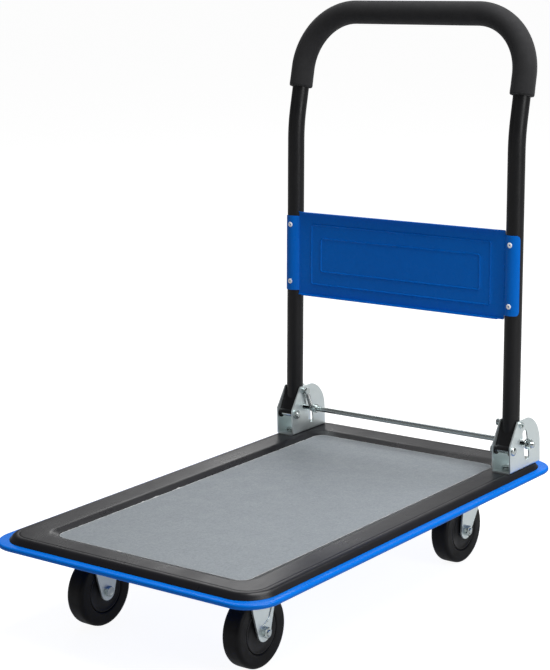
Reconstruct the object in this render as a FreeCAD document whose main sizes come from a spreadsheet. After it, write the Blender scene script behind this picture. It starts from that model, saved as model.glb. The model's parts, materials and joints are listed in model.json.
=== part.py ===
"""Folding platform cart: a pressed steel deck on four casters with a fold-down handle.

Millimetres. X to the right, Y towards the handle (the rear), Z up.
The origin is on the floor under the middle of the deck.
"""
import FreeCAD, Part
import Sketcher
import math
import os
import re

DOC = FreeCAD.newDocument("PlatformCart")
SHEET = DOC.addObject("Spreadsheet::Sheet", "Sizes")
ALIASES = set()
NODES = {}
SIDES = (("left", -1), ("right", 1))


# ---------------------------------------------------------------- driving dimensions

DRIVING = [
    # deck
    ("deck_length", 740.0, "along Y, over the rim"),
    ("deck_width", 470.0, "along X, over the rim"),
    ("deck_corner", 45.0, "outer corner radius of the rim"),
    ("rim_low", 125.4, "height of the rim's lower edge"),
    ("rim_top", 132.0, "height of the rim's flat top"),
    ("rim_lip", 4.0, "width of the rolled rim's downward lip"),
    ("rim_round", 3.0, "rounding of the rim's two outer edges"),
    ("pan_sheet", 1.5, "thickness of the pan's sheet"),
    ("plateau_inset", 14.5, "from the rim's edge to the foot of the pan's plateau"),
    ("plateau_corner", 40.5, "corner radius of the plateau's foot"),
    ("plateau_rise", 5.8, "from the rim's top to the pan's plateau"),
    ("plateau_taper", 40.0, "slope of the plateau's wall from upright, degrees"),
    ("recess_depth", 5.0, "depth of the mat's recess in the pan"),
    ("recess_x", 178.0, "half width of the pan's recess"),
    ("recess_front", 319.0, "recess front edge, ahead of the middle"),
    ("recess_rear", 313.0, "recess rear edge, behind the middle"),
    ("recess_corner", 30.0, "corner radius of the recess"),
    ("cover_inset", 12.0, "from the rim's edge to the foot of the cover"),
    ("cover_corner", 43.0, "corner radius of the cover's foot"),
    ("cover_rise", 7.8, "from the rim's top to the cover's top"),
    ("cover_round", 2.4, "rounding of the cover's shoulder"),
    ("mat_slope", 12.0, "how far the cover slopes in on its way down to the mat"),
    ("mat_sheet", 2.0, "thickness of the mat"),
    # stiffening rails
    ("rail_x", 136.0, "rail middle line from the middle of the deck"),
    ("rail_web", 72.0, "width of the rail's web"),
    ("rail_flange", 7.0, "width of each rail flange"),
    ("rail_height", 9.0, "height of the hat section"),
    ("rail_sheet", 2.0, "thickness of the rail's sheet"),
    ("rail_length", 620.0, "length of each rail"),
    # casters
    ("wheel_radius", 50.0, "tyre radius"),
    ("tyre_width", 28.0, "tyre width"),
    ("tyre_round", 5.0, "rounding of the tread's shoulders"),
    ("hub_radius", 30.5, "radius where tyre and hub meet"),
    ("hub_width", 26.0, "width of the hub"),
    ("hub_groove", 1.2, "bevel on each side of the ring groove"),
    ("axle_radius", 4.0, "M8 axle bolt"),
    ("bush_radius", 6.0, "outer radius of the axle bush"),
    ("running_gap", 0.1, "radial clearance of a turning fit"),
    ("wheel_x", 136.0, "wheel middle plane from the middle of the deck"),
    ("front_axle_y", 254.0, "front axles, ahead of the middle"),
    ("rear_axle_y", 233.0, "rear axles, behind the middle"),
    ("swivel_trail", 29.0, "from the rear axle to the swivel axis"),
    ("fork_gap", 31.0, "inside width of a fork"),
    ("fork_sheet", 2.5, "thickness of a fork leg and of a caster plate"),
    ("fork_tip", 13.0, "radius of a fork leg's lower end"),
    ("fork_top", 60.0, "width of a fixed fork at its plate"),
    ("plate_x", 70.0, "caster plate across"),
    ("plate_y", 96.0, "caster plate along the deck"),
    ("plate_corner", 6.0, "caster plate corner radius"),
    ("plate_hole_x", 48.0, "caster hole spacing across"),
    ("plate_hole_y", 78.0, "caster hole spacing along the deck"),
    ("crown_radius", 29.0, "radius of a swivel fork's crown"),
    ("crown_sheet", 5.0, "thickness of the crown with its pressed race"),
    ("race_radius", 21.0, "radius of the ball race"),
    ("race_outer", 28.0, "outer radius of the upper race"),
    ("race_gap", 1.0, "gap between crown and upper race"),
    ("ball_radius", 3.0, "radius of a race ball"),
    ("kingpin_radius", 6.0, "radius of the kingpin rivet"),
    ("kingpin_head", 10.0, "radius of the kingpin's lower head"),
    ("kingpin_head_height", 2.2, "height of the kingpin's lower head"),
    # fasteners
    ("screw_radius", 4.0, "M8 shank"),
    ("screw_hole", 4.4, "radius of a clearance hole for M8"),
    ("screw_head", 5.3, "height of an M8 hex head"),
    ("screw_nut", 6.5, "height of an M8 nut"),
    ("screw_flats", 13.0, "width across flats for M8"),
    # hinge brackets
    ("bracket_x", 201.0, "bracket and leg middle plane"),
    ("bracket_width", 31.4, "bracket over its ears"),
    ("bracket_sheet", 2.0, "thickness of the bracket"),
    ("bracket_bend", 2.4, "outer radius of the bracket's two long bends"),
    ("bracket_front", 255.4, "front edges of the ears"),
    ("bracket_rear", 342.4, "rear edges of the ears"),
    ("bracket_height", 75.0, "ear height above the cover"),
    ("bracket_front_height", 41.2, "height of the ear's upright front edge"),
    ("bracket_top_front", 278.2, "where the ear's flat top starts"),
    ("bracket_top_rear", 309.6, "where the ear's flat top ends"),
    ("bracket_arc", 44.0, "radius of the ear's rounded back"),
    ("bracket_bolt_front", 271.0, "front base bolt"),
    ("bracket_bolt_rear", 326.0, "rear base bolt"),
    ("pivot_y", 264.0, "handle pivot"),
    ("pivot_z", 173.0, "handle pivot"),
    ("pivot_radius", 4.0, "pivot bolt"),
    ("pivot_gap", 0.06, "radial clearance on the pivot bolt"),
    ("stud_y", 286.6, "spring stud"),
    ("stud_z", 207.7, "spring stud"),
    ("stud_radius", 3.8, "spring studs and outer studs"),
    ("stud_length", 9.0, "how far a spring stud stands off its ear"),
    ("outer_stud", 2.8, "how far an outer stud stands off its ear"),
    ("slot_half", 6.6, "half width of the upright slot"),
    ("slot_top_y", 298.0, "middle of the slot's upper end"),
    ("slot_top_z", 192.0, "middle of the slot's upper end"),
    ("slot_low_y", 304.0, "middle of the slot's lower end"),
    ("slot_low_z", 158.0, "middle of the slot's lower end"),
    ("notch_half", 4.5, "half width of the notch that leads forward from the slot"),
    ("notch_y", 287.0, "middle of the notch's front end"),
    ("notch_z", 181.0, "middle of the notch's front end"),
    # lock bar
    ("bar_y", 300.8, "lock bar at rest in the upright slot"),
    ("bar_z", 176.5, "lock bar at rest in the upright slot"),
    ("bar_radius", 4.0, "lock bar"),
    ("bar_end", 231.0, "lock bar's ends from the middle"),
    ("collar_radius", 6.5, "spring collar"),
    ("collar_width", 7.0, "spring collar"),
    ("flange_radius", 8.0, "flanged collar outside an ear"),
    ("flange_width", 2.5, "flanged collar outside an ear"),
    ("side_gap", 0.5, "side clearance beside an ear"),
    ("spring_outer", 3.4, "outer radius of a lock spring's coil"),
    ("spring_wire", 0.55, "radius of the spring's wire"),
    # handle
    ("lean", 2.64, "lean of the legs from upright, degrees"),
    ("leg_offset", 18.5, "from the pivot back to the leg's middle line"),
    ("tube_radius", 13.0, "handle tube"),
    ("tube_wall", 1.5, "handle tube"),
    ("foot_top", 15.5, "where the tube's lower end stands above the pivot"),
    ("foot_width", 26.0, "width of the clevis foot"),
    ("foot_clevis", 23.4, "opening between the clevis cheeks"),
    ("foot_boss", 7.5, "radius of the foot round the pivot"),
    ("kink_height", 635.0, "height of the bend in the legs"),
    ("upper_lean", 13.8, "lean of the upper part from upright, degrees"),
    ("kink_radius", 250.0, "bend radius of the kink"),
    ("bar_height", 809.0, "height of the top bar's middle line"),
    ("corner_radius", 90.0, "bend radius of the handle's corners"),
    ("grip_radius", 18.3, "foam grip"),
    ("grip_end_height", 692.5, "height of the grip's ends"),
    ("fit_gap", 0.05, "radial clearance of a standing fit"),
    # handle panel
    ("panel_low", 365.0, "height of the panel's lower edge"),
    ("panel_high", 497.5, "height of the panel's upper edge"),
    ("panel_ahead", 5.8, "how far the panel's middle plane lies ahead of the leg axes"),
    ("panel_sheet", 1.2, "thickness of the panel"),
    ("panel_lip", 6.0, "depth of the folded lips"),
    ("panel_lip_end", 180.0, "lip ends from the middle"),
    ("tab_inset", 7.0, "how much shorter a tab is than the panel, at each end"),
    ("rib_height", 1.0, "height of the pressed lines"),
    ("rib_width", 2.6, "width of the pressed lines"),
    ("rib_corner", 5.0, "outer corner radius of the pressed lines"),
    ("rivet_inset", 14.0, "rivets from the tab's ends"),
    ("rivet_radius", 2.4, "rivet shank"),
    ("rivet_head", 4.0, "rivet head"),
]


def fill_sheet():
    """Write every driving dimension to the sheet as plain text with an alias and a note."""
    for row, (alias, value, note) in enumerate(DRIVING, start=1):
        SHEET.set("A%d" % row, alias)
        SHEET.set("B%d" % row, "%g" % value)
        SHEET.set("C%d" % row, note)
        SHEET.setAlias("B%d" % row, alias)
        ALIASES.add(alias)
    DOC.recompute()


def linked(expression):
    """An expression written with bare aliases, turned into one that points at the sheet."""
    def point_at_sheet(match):
        word = match.group()
        return "Sizes." + word if word in ALIASES else word
    return re.sub(r"[a-z][a-z_0-9]*", point_at_sheet, str(expression))


def number(expression):
    """The present value of an expression written with bare aliases."""
    return float(SHEET.evalExpression(linked(expression)))


def bind(thing, **sizes):
    """Bind properties to expressions: bind(pad, Length='deck_length / 2')."""
    for name, expression in sizes.items():
        thing.setExpression(name, linked(expression))
    return thing


def place(thing, x="0", y="0", z="0", tilt=None):
    """Bind a placement: an offset and, if given, a turn about X in degrees."""
    base = FreeCAD.Vector(number(x), number(y), number(z))
    turn = FreeCAD.Rotation(FreeCAD.Vector(1, 0, 0), number(tilt) if tilt else 0.0)
    thing.Placement = FreeCAD.Placement(base, turn)
    thing.setExpression("Placement.Base.x", linked(x))
    thing.setExpression("Placement.Base.y", linked(y))
    thing.setExpression("Placement.Base.z", linked(z))
    if tilt:
        thing.setExpression("Placement.Rotation.Angle", linked(tilt))
    return thing


def node(thing, name):
    """Give the finished sub-part its name and list it for export."""
    thing.Label = name
    NODES[name] = thing
    return thing


# ---------------------------------------------------------------- sketch helpers

def body(name):
    return DOC.addObject("PartDesign::Body", "Body_" + name)


def origin_plane(owner, role):
    return next(item for item in owner.Origin.OriginFeatures if item.Role == role)


def sketch(owner, role, offset="0"):
    """A sketch on one of its body's origin planes, lifted off it by an offset."""
    made = owner.newObject("Sketcher::SketchObject", "Sketch")
    made.AttachmentSupport = [(origin_plane(owner, role), "")]
    made.MapMode = "FlatFace"
    made.setExpression("AttachmentOffset.Base.z", linked(offset))
    return made


def pin_point(made, element, end, x, y):
    """Fix one point of a sketch at two expressions."""
    for kind, expression in (("DistanceX", x), ("DistanceY", y)):
        constraint = Sketcher.Constraint(kind, -1, 1, element, end, number(expression))
        made.setExpression("Constraints[%d]" % made.addConstraint(constraint), linked(expression))


def polygon(made, points):
    """A closed outline of straight lines through points given as pairs of expressions."""
    places = [FreeCAD.Vector(number(x), number(y), 0) for x, y in points]
    first = made.GeometryCount
    for index, start in enumerate(places):
        made.addGeometry(Part.LineSegment(start, places[(index + 1) % len(places)]))
    for index, (x, y) in enumerate(points):
        following = first + (index + 1) % len(points)
        made.addConstraint(Sketcher.Constraint("Coincident", first + index, 2, following, 1))
        pin_point(made, first + index, 1, x, y)


def circle(made, x, y, radius):
    centre = FreeCAD.Vector(number(x), number(y), 0)
    element = made.addGeometry(Part.Circle(centre, FreeCAD.Vector(0, 0, 1), number(radius)))
    pin_point(made, element, 3, x, y)
    constraint = made.addConstraint(Sketcher.Constraint("Radius", element, number(radius)))
    made.setExpression("Constraints[%d]" % constraint, linked(radius))


def rectangle(made, x_low, x_high, y_low, y_high):
    polygon(made, [(x_low, y_low), (x_high, y_low), (x_high, y_high), (x_low, y_high)])


def arc(made, x, y, radius, start, end):
    """A counter-clockwise arc, its centre and radius bound, between two angles in degrees."""
    centre = FreeCAD.Vector(number(x), number(y), 0)
    ring = Part.Circle(centre, FreeCAD.Vector(0, 0, 1), number(radius))
    element = made.addGeometry(Part.ArcOfCircle(ring, math.radians(start), math.radians(end)))
    pin_point(made, element, 3, x, y)
    constraint = made.addConstraint(Sketcher.Constraint("Radius", element, number(radius)))
    made.setExpression("Constraints[%d]" % constraint, linked(radius))
    return element


def line_between(made, first, second):
    """A line from the end of one arc to the start of the next."""
    start = made.getPoint(first, 2)
    end = made.getPoint(second, 1)
    return made.addGeometry(Part.LineSegment(start, end))


def smooth_loop(made, arcs):
    """Close a ring of arcs with straight lines that are tangent to them."""
    for index, first in enumerate(arcs):
        second = arcs[(index + 1) % len(arcs)]
        line = line_between(made, first, second)
        made.addConstraint(Sketcher.Constraint("Tangent", first, 2, line, 1))
        made.addConstraint(Sketcher.Constraint("Tangent", line, 2, second, 1))


def rounded_rectangle(made, x_low, x_high, y_low, y_high, radius):
    corners = [("(%s) + (%s)" % (x_low, radius), "(%s) + (%s)" % (y_low, radius), 180),
               ("(%s) - (%s)" % (x_high, radius), "(%s) + (%s)" % (y_low, radius), 270),
               ("(%s) - (%s)" % (x_high, radius), "(%s) - (%s)" % (y_high, radius), 0),
               ("(%s) + (%s)" % (x_low, radius), "(%s) - (%s)" % (y_high, radius), 90)]
    smooth_loop(made, [arc(made, x, y, radius, turn, turn + 90) for x, y, turn in corners])


def stadium(made, x1, y1, x2, y2, half_width):
    """A slot outline between two end centres."""
    heading = math.degrees(math.atan2(number(y2) - number(y1), number(x2) - number(x1)))
    near = arc(made, x1, y1, half_width, heading + 90, heading + 270)
    far = arc(made, x2, y2, half_width, heading - 90, heading + 90)
    smooth_loop(made, [near, far])


def tongue(made, left, right, centre, radius):
    """A leg's outline: a straight top edge whose ends run down to a rounded tip."""
    left_x, right_x, mid_x = number(left[0]), number(right[0]), number(centre[0])
    left_y, right_y, mid_y = number(left[1]), number(right[1]), number(centre[1])
    reach = number(radius)
    lean_left = math.degrees(math.atan2(left_y - mid_y, left_x - mid_x))
    lean_right = math.degrees(math.atan2(right_y - mid_y, right_x - mid_x))
    open_left = math.degrees(math.acos(reach / math.hypot(left_x - mid_x, left_y - mid_y)))
    open_right = math.degrees(math.acos(reach / math.hypot(right_x - mid_x, right_y - mid_y)))
    tip = arc(made, centre[0], centre[1], radius, lean_left + open_left,
              360 + lean_right - open_right)
    top_left = FreeCAD.Vector(left_x, left_y, 0)
    top_right = FreeCAD.Vector(right_x, right_y, 0)
    down = made.addGeometry(Part.LineSegment(top_left, made.getPoint(tip, 1)))
    up = made.addGeometry(Part.LineSegment(made.getPoint(tip, 2), top_right))
    top = made.addGeometry(Part.LineSegment(top_right, top_left))
    made.addConstraint(Sketcher.Constraint("Tangent", down, 2, tip, 1))
    made.addConstraint(Sketcher.Constraint("Tangent", tip, 2, up, 1))
    made.addConstraint(Sketcher.Constraint("Coincident", up, 2, top, 1))
    made.addConstraint(Sketcher.Constraint("Coincident", top, 2, down, 1))
    pin_point(made, down, 1, *left)
    pin_point(made, up, 2, *right)


def polygon_with_arc(made, points, radius):
    """A closed outline whose last side, back to the first point, is an arc bulging outwards."""
    places = [FreeCAD.Vector(number(x), number(y), 0) for x, y in points]
    start, end = places[-1], places[0]
    middle = (start + end) / 2
    across = (end - start).normalize()
    outward = FreeCAD.Vector(across.y, -across.x, 0)
    half_chord = (end - start).Length / 2
    bulge = number(radius) - math.sqrt(number(radius) ** 2 - half_chord ** 2)
    curve = made.addGeometry(Part.Arc(start, middle + outward * bulge, end))
    swap = made.getPoint(curve, 1).distanceToPoint(start) > 0.01
    curve_start, curve_end = (2, 1) if swap else (1, 2)
    constraint = made.addConstraint(Sketcher.Constraint("Radius", curve, number(radius)))
    made.setExpression("Constraints[%d]" % constraint, linked(radius))
    previous = (curve, curve_end)
    for index in range(len(points) - 1):
        side = made.addGeometry(Part.LineSegment(places[index], places[index + 1]))
        made.addConstraint(Sketcher.Constraint("Coincident", previous[0], previous[1], side, 1))
        pin_point(made, side, 1, *points[index])
        previous = (side, 2)
    made.addConstraint(Sketcher.Constraint("Coincident", previous[0], 2, curve, curve_start))
    pin_point(made, previous[0], 2, *points[-1])


def grow(kind, owner, profile, length, side="One side", back=False, taper="0", name="Grow"):
    """A pad or pocket whose length and taper are bound to the sheet."""
    feature = owner.newObject("PartDesign::" + kind, name)
    feature.Profile = profile
    feature.SideType = side
    feature.Reversed = back
    bind(feature, Length=length, TaperAngle=taper)
    return feature


def pad(owner, profile, length, **options):
    return grow("Pad", owner, profile, length, **options)


def pocket(owner, profile, length, **options):
    """Cut a profile out of its body, and make sure that something was cut."""
    DOC.recompute()
    before = owner.Shape.Volume
    feature = grow("Pocket", owner, profile, length, **options)
    DOC.recompute()
    if owner.Shape.Volume > before - 0.01:
        raise RuntimeError("a pocket in %s cuts nothing" % owner.Label)
    return feature


def round_edges(owner, radius, wanted):
    """Fillet those edges of the body's present shape that a test picks."""
    DOC.recompute()
    base = owner.Tip
    names = ["Edge%d" % (index + 1) for index, edge in enumerate(base.Shape.Edges) if wanted(edge)]
    fillet = owner.newObject("PartDesign::Fillet", "Round")
    fillet.Base = (base, names)
    bind(fillet, Radius=radius)
    DOC.recompute()
    return fillet


def lies_at(height, slack=0.01):
    """A test for edges that lie level at one height."""
    def test(edge):
        box = edge.BoundBox
        return abs(box.ZMin - height) < slack and abs(box.ZMax - height) < slack
    return test


# ---------------------------------------------------------------- solid helpers

def cylinder(radius, height, x="0", y="0", z="0", along="Z"):
    """A round bar whose lower end is at the given point."""
    made = DOC.addObject("Part::Cylinder", "Round")
    bind(made, Radius=radius, Height=height)
    place(made, x, y, z)
    if along == "X":
        made.Placement.Rotation = FreeCAD.Rotation(FreeCAD.Vector(0, 1, 0), 90)
    if along == "Y":
        made.Placement.Rotation = FreeCAD.Rotation(FreeCAD.Vector(1, 0, 0), -90)
    return made


def hexagon(flats, height, x="0", y="0", z="0", along="Z"):
    """A hexagonal prism, given its width across flats."""
    made = DOC.addObject("Part::Prism", "Hexagon")
    made.Polygon = 6
    bind(made, Circumradius="%s / sqrt(3)" % flats, Height=height)
    place(made, x, y, z)
    if along == "X":
        made.Placement.Rotation = FreeCAD.Rotation(FreeCAD.Vector(0, 1, 0), 90)
    return made


def fuse(parts):
    made = DOC.addObject("Part::MultiFuse", "Fuse")
    made.Shapes = parts
    return made


def cut(base, tool):
    made = DOC.addObject("Part::Cut", "Cut")
    made.Base = base
    made.Tool = tool
    return made


def group(parts):
    """Several separate solids kept as one object."""
    made = DOC.addObject("Part::Compound", "Group")
    made.Links = parts
    return made


def slab(half_x, front, rear, corner, low, height, taper="0"):
    """A rounded slab; a taper above 0 makes its walls lean outwards going up."""
    made = body("slab")
    outline = sketch(made, "XY_Plane", low)
    rounded_rectangle(outline, "-(%s)" % half_x, half_x, "-(%s)" % front, rear, corner)
    pad(made, outline, height, taper=taper)
    return made


def bent_path(points, radii):
    """A wire through points with an arc of the given radius at each inner point."""
    edges = []
    here = points[0]
    for index, radius in enumerate(radii, start=1):
        before, corner, after = points[index - 1], points[index], points[index + 1]
        back = (before - corner).normalize()
        on = (after - corner).normalize()
        half_turn = (math.pi - back.getAngle(on)) / 2
        reach = radius * math.tan(half_turn)
        start, end = corner + back * reach, corner + on * reach
        inward = (back + on).normalize()
        middle = corner + inward * (radius / math.cos(half_turn) - radius)
        edges.append(Part.LineSegment(here, start).toShape())
        edges.append(Part.Arc(start, middle, end).toShape())
        here = end
    edges.append(Part.LineSegment(here, points[-1]).toShape())
    return Part.Wire(edges)


def bar_along(path, radius):
    """A round solid bar swept along a path, its volume checked."""
    first = path.Edges[0]
    start = first.valueAt(first.FirstParameter)
    heading = first.tangentAt(first.FirstParameter)
    section = Part.Wire(Part.makeCircle(radius, start, heading))
    swept = path.makePipeShell([section], True, False)
    expected = math.pi * radius ** 2 * path.Length
    if abs(swept.Volume / expected - 1) > 0.002:
        raise RuntimeError("a swept bar has the wrong volume")
    return swept


# ---------------------------------------------------------------- the deck

HALF_X = "deck_width / 2"
HALF_Y = "deck_length / 2"
PAN_TOP = "(rim_top + plateau_rise)"
RECESS_FLOOR = "(rim_top + plateau_rise - recess_depth)"
DECK_TOP = "(rim_top + cover_rise)"
RAIL_LOW = "(rim_top + plateau_rise - recess_depth - pan_sheet - rail_height)"
PLATE_LOW = "(%s - fork_sheet)" % RAIL_LOW
BRACKET_BOLTS = ("bracket_bolt_front", "bracket_bolt_rear")


def inset_slab(inset, corner, low, height, taper="0"):
    """A rounded slab that keeps one distance from the rim's edge all round."""
    return slab("%s - (%s)" % (HALF_X, inset), "%s - (%s)" % (HALF_Y, inset),
                "%s - (%s)" % (HALF_Y, inset), corner, low, height, taper)


def recess_slab(grown, low, height, taper="0"):
    """A slab with the recess's outline, larger all round by the given amount."""
    return slab("recess_x + (%s)" % grown, "recess_front + (%s)" % grown,
                "recess_rear + (%s)" % grown, "recess_corner + (%s)" % grown, low, height, taper)


def bracket_bolt_holes():
    """Round tools that drill the bracket bolts' holes through cover and pan."""
    return group([cylinder("screw_hole", "30", "%d * bracket_x" % side, y, "rim_low")
                  for _, side in SIDES for y in BRACKET_BOLTS])


def make_deck():
    rim = inset_slab("0", "deck_corner", "rim_low", "rim_top - rim_low")
    outer_edges = [lies_at(number("rim_low")), lies_at(number("rim_top"))]
    round_edges(rim, "rim_round", lambda edge: any(test(edge) for test in outer_edges))
    plateau = inset_slab("plateau_inset", "plateau_corner", "rim_top",
                         "plateau_rise", "-plateau_taper")
    recess = recess_slab("0", RECESS_FLOOR, "recess_depth + 5")
    envelope = cut(fuse([rim, plateau]), recess)

    under_rim = inset_slab("rim_lip", "deck_corner - rim_lip", "rim_low - 5",
                           "rim_top - rim_low - pan_sheet + 5")
    under_plateau = inset_slab("plateau_inset + 0.8", "plateau_corner - 0.8",
                               "rim_top - pan_sheet", "plateau_rise", "-plateau_taper")
    kept_floor = recess_slab("pan_sheet", "%s - pan_sheet" % RECESS_FLOOR, "10")
    hollow = fuse([under_rim, cut(under_plateau, kept_floor)])
    holes = bracket_bolt_holes()
    node(cut(cut(envelope, hollow), holes), "deck_pan")

    blank = inset_slab("cover_inset", "cover_corner", "rim_top", "cover_rise",
                       "-plateau_taper")
    round_edges(blank, "cover_round", lies_at(number(DECK_TOP)))
    mat = recess_slab("-mat_slope - 1", RECESS_FLOOR, "mat_sheet")
    slope = recess_slab("-mat_slope - 1", "%s + mat_sheet" % RECESS_FLOOR, "10",
                        "atan(mat_slope / (cover_rise - plateau_rise + recess_depth - mat_sheet))")
    ring = cut(cut(blank, envelope), fuse([mat, slope]))
    node(cut(ring, holes), "deck_cover")
    node(mat, "grip_mat")


def make_rails():
    """Hat sections: a web below, two walls and two flanges welded to the pan."""
    for label, side in SIDES:
        rail = body("rail_" + label)
        section = sketch(rail, "XZ_Plane", "-rail_length / 2")
        web = "rail_web / 2"
        edge = "(rail_web / 2 + rail_flange)"
        inner = "(rail_web / 2 - rail_sheet)"
        polygon(section, [("-%s" % web, "0"), (web, "0"), (web, "rail_height - rail_sheet"),
                          (edge, "rail_height - rail_sheet"), (edge, "rail_height"),
                          (inner, "rail_height"), (inner, "rail_sheet"),
                          ("-" + inner, "rail_sheet"), ("-" + inner, "rail_height"),
                          ("-" + edge, "rail_height"), ("-" + edge, "rail_height - rail_sheet"),
                          ("-%s" % web, "rail_height - rail_sheet")])
        pad(rail, section, "rail_length")
        drill = sketch(rail, "XY_Plane", "-5")
        for end_y in ("-front_axle_y", "rear_axle_y + swivel_trail"):
            for across in (-1, 1):
                for along in (-1, 1):
                    circle(drill, "%d * plate_hole_x / 2" % across,
                           "%s + %d * plate_hole_y / 2" % (end_y, along), "screw_hole")
        pocket(rail, drill, "rail_sheet + 6", back=True)
        place(rail, "%d * rail_x" % side, "0", RAIL_LOW)
        node(rail, "rail_" + label)


# ---------------------------------------------------------------- casters

def plate_centres():
    """The middle of each caster's plate as expressions."""
    for _, side in SIDES:
        yield "%d * wheel_x" % side, "-front_axle_y"
        yield "%d * wheel_x" % side, "rear_axle_y + swivel_trail"


def axle_centres():
    """Each wheel's end, label, side and axle place as expressions."""
    for label, side in SIDES:
        yield "front", label, side, "%d * wheel_x" % side, "-front_axle_y"
        yield "rear", label, side, "%d * wheel_x" % side, "rear_axle_y"


def plate_screw_places():
    for x, y in plate_centres():
        for across in (-1, 1):
            for along in (-1, 1):
                yield ("%s + %d * plate_hole_x / 2" % (x, across),
                       "%s + %d * plate_hole_y / 2" % (y, along))


def make_caster_screws():
    """Hex bolts from below into weld nuts that sit on the rails' webs."""
    screws, nuts = [], []
    for x, y in plate_screw_places():
        head = hexagon("screw_flats", "screw_head", x, y, "%s - screw_head" % PLATE_LOW)
        shank = cylinder("screw_radius", "fork_sheet + rail_sheet + screw_nut", x, y, PLATE_LOW)
        screws.append(fuse([head, shank]))
        nut_low = "%s + rail_sheet" % RAIL_LOW
        block = hexagon("screw_flats", "screw_nut", x, y, nut_low)
        bore = cylinder("screw_radius + fit_gap", "screw_nut + 2", x, y, "%s - 1" % nut_low)
        nuts.append(cut(block, bore))
    node(group(screws), "caster_bolts")
    node(group(nuts), "caster_weld_nuts")


def caster_plate(owner):
    """A plate with four bolt holes, centred on the caster."""
    outline = sketch(owner, "XY_Plane", PLATE_LOW)
    rounded_rectangle(outline, "-plate_x / 2", "plate_x / 2", "-plate_y / 2", "plate_y / 2",
                      "plate_corner")
    pad(owner, outline, "fork_sheet")
    drill = sketch(owner, "XY_Plane", "%s - 5" % PLATE_LOW)
    for across in (-1, 1):
        for along in (-1, 1):
            circle(drill, "%d * plate_hole_x / 2" % across, "%d * plate_hole_y / 2" % along,
                   "screw_hole")
    pocket(owner, drill, "fork_sheet + 10", back=True)


def fork_legs(owner, axle_y, shoulder, top, top_z):
    """Two legs: a tapered block round the axle, opened up by the wheel's gap.

    shoulder is the leg's front and rear edge where its taper begins, top the same at the crown.
    """
    width = "(fork_gap + 2 * fork_sheet)"
    shoulder_z = "(1.6 * wheel_radius)"
    lower = sketch(owner, "YZ_Plane")
    tongue(lower, (shoulder[0], shoulder_z), (shoulder[1], shoulder_z), (axle_y, "wheel_radius"),
           "fork_tip")
    pad(owner, lower, width, side="Symmetric")
    upper = sketch(owner, "YZ_Plane")
    polygon(upper, [(shoulder[0], shoulder_z), (shoulder[1], shoulder_z), (top[1], top_z),
                    (top[0], top_z)])
    pad(owner, upper, width, side="Symmetric")


def open_fork(owner, gap_top):
    """Cut the wheel's gap between the legs and the axle's hole through them."""
    gap = sketch(owner, "XZ_Plane", "-200")
    rectangle(gap, "-fork_gap / 2", "fork_gap / 2", "0", gap_top)
    pocket(owner, gap, "400", back=True)


def drill_axle(owner, axle_y):
    hole = sketch(owner, "YZ_Plane")
    circle(hole, axle_y, "wheel_radius", "axle_radius + running_gap")
    pocket(owner, hole, "80", side="Symmetric")


def make_fixed_forks():
    for label, side in SIDES:
        fork = body("fixed_fork_" + label)
        fork_legs(fork, "0", ("-0.36 * fork_top", "0.36 * fork_top"),
                  ("-fork_top / 2", "fork_top / 2"), "%s + fork_sheet / 2" % PLATE_LOW)
        open_fork(fork, PLATE_LOW)
        caster_plate(fork)
        drill_axle(fork, "0")
        place(fork, "%d * wheel_x" % side, "-front_axle_y")
        node(fork, "fixed_fork_" + label)


CROWN_TOP = "(%s - 6)" % PLATE_LOW
BALL_Z = "(%s - 6 + race_gap / 2)" % PLATE_LOW


def race_groove(x, y):
    """A ring-shaped tool for the groove that the balls run in."""
    made = DOC.addObject("Part::Torus", "Race")
    bind(made, Radius1="race_radius", Radius2="ball_radius + running_gap")
    return place(made, x, y, BALL_Z)


def make_swivels():
    """Rear casters: plate and upper race above, crown with its legs below, balls between."""
    for label, side in SIDES:
        x, y = "%d * wheel_x" % side, "rear_axle_y + swivel_trail"
        plate = body("swivel_plate_" + label)
        caster_plate(plate)
        boss = sketch(plate, "XY_Plane", "%s + race_gap" % CROWN_TOP)
        circle(boss, "0", "0", "race_outer")
        pad(plate, boss, "%s - %s - race_gap + 1" % (PLATE_LOW, CROWN_TOP))
        pin_hole = sketch(plate, "XY_Plane", "%s - 20" % PLATE_LOW)
        circle(pin_hole, "0", "0", "kingpin_radius + fit_gap")
        pocket(plate, pin_hole, "40", back=True)
        place(plate, x, y)
        node(cut(plate, race_groove(x, y)), "swivel_plate_" + label)

        crown_low = "(%s - crown_sheet)" % CROWN_TOP
        fork = body("swivel_fork_" + label)
        crown = sketch(fork, "XY_Plane", crown_low)
        circle(crown, "0", "0", "crown_radius")
        pad(fork, crown, "crown_sheet")
        fork_legs(fork, "-swivel_trail",
                  ("-swivel_trail - fork_tip + 5", "-swivel_trail + 37"),
                  ("-crown_radius + 3", "crown_radius - 3"), "%s + 1" % crown_low)
        open_fork(fork, crown_low)
        drill_axle(fork, "-swivel_trail")
        king_hole = sketch(fork, "XY_Plane", "%s - 1" % crown_low)
        circle(king_hole, "0", "0", "kingpin_radius + running_gap")
        pocket(fork, king_hole, "crown_sheet + 5", back=True)
        place(fork, x, y)
        node(cut(fork, race_groove(x, y)), "swivel_fork_" + label)

        shaft = cylinder("kingpin_radius", "%s + fork_sheet - %s + 0.3" % (PLATE_LOW, crown_low),
                         x, y, "%s - 0.3" % crown_low)
        head = cylinder("kingpin_head", "kingpin_head_height", x, y,
                        "%s - 0.3 - kingpin_head_height" % crown_low)
        node(fuse([shaft, head]), "kingpin_" + label)

        balls = []
        count = 16
        for index in range(count):
            ball = DOC.addObject("Part::Sphere", "Ball")
            bind(ball, Radius="ball_radius")
            turn = 360.0 * index / count
            place(ball, "%s + race_radius * cos(%g)" % (x, turn),
                  "%s + race_radius * sin(%g)" % (y, turn), BALL_Z)
            balls.append(ball)
        node(group(balls), "swivel_balls_" + label)


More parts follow.
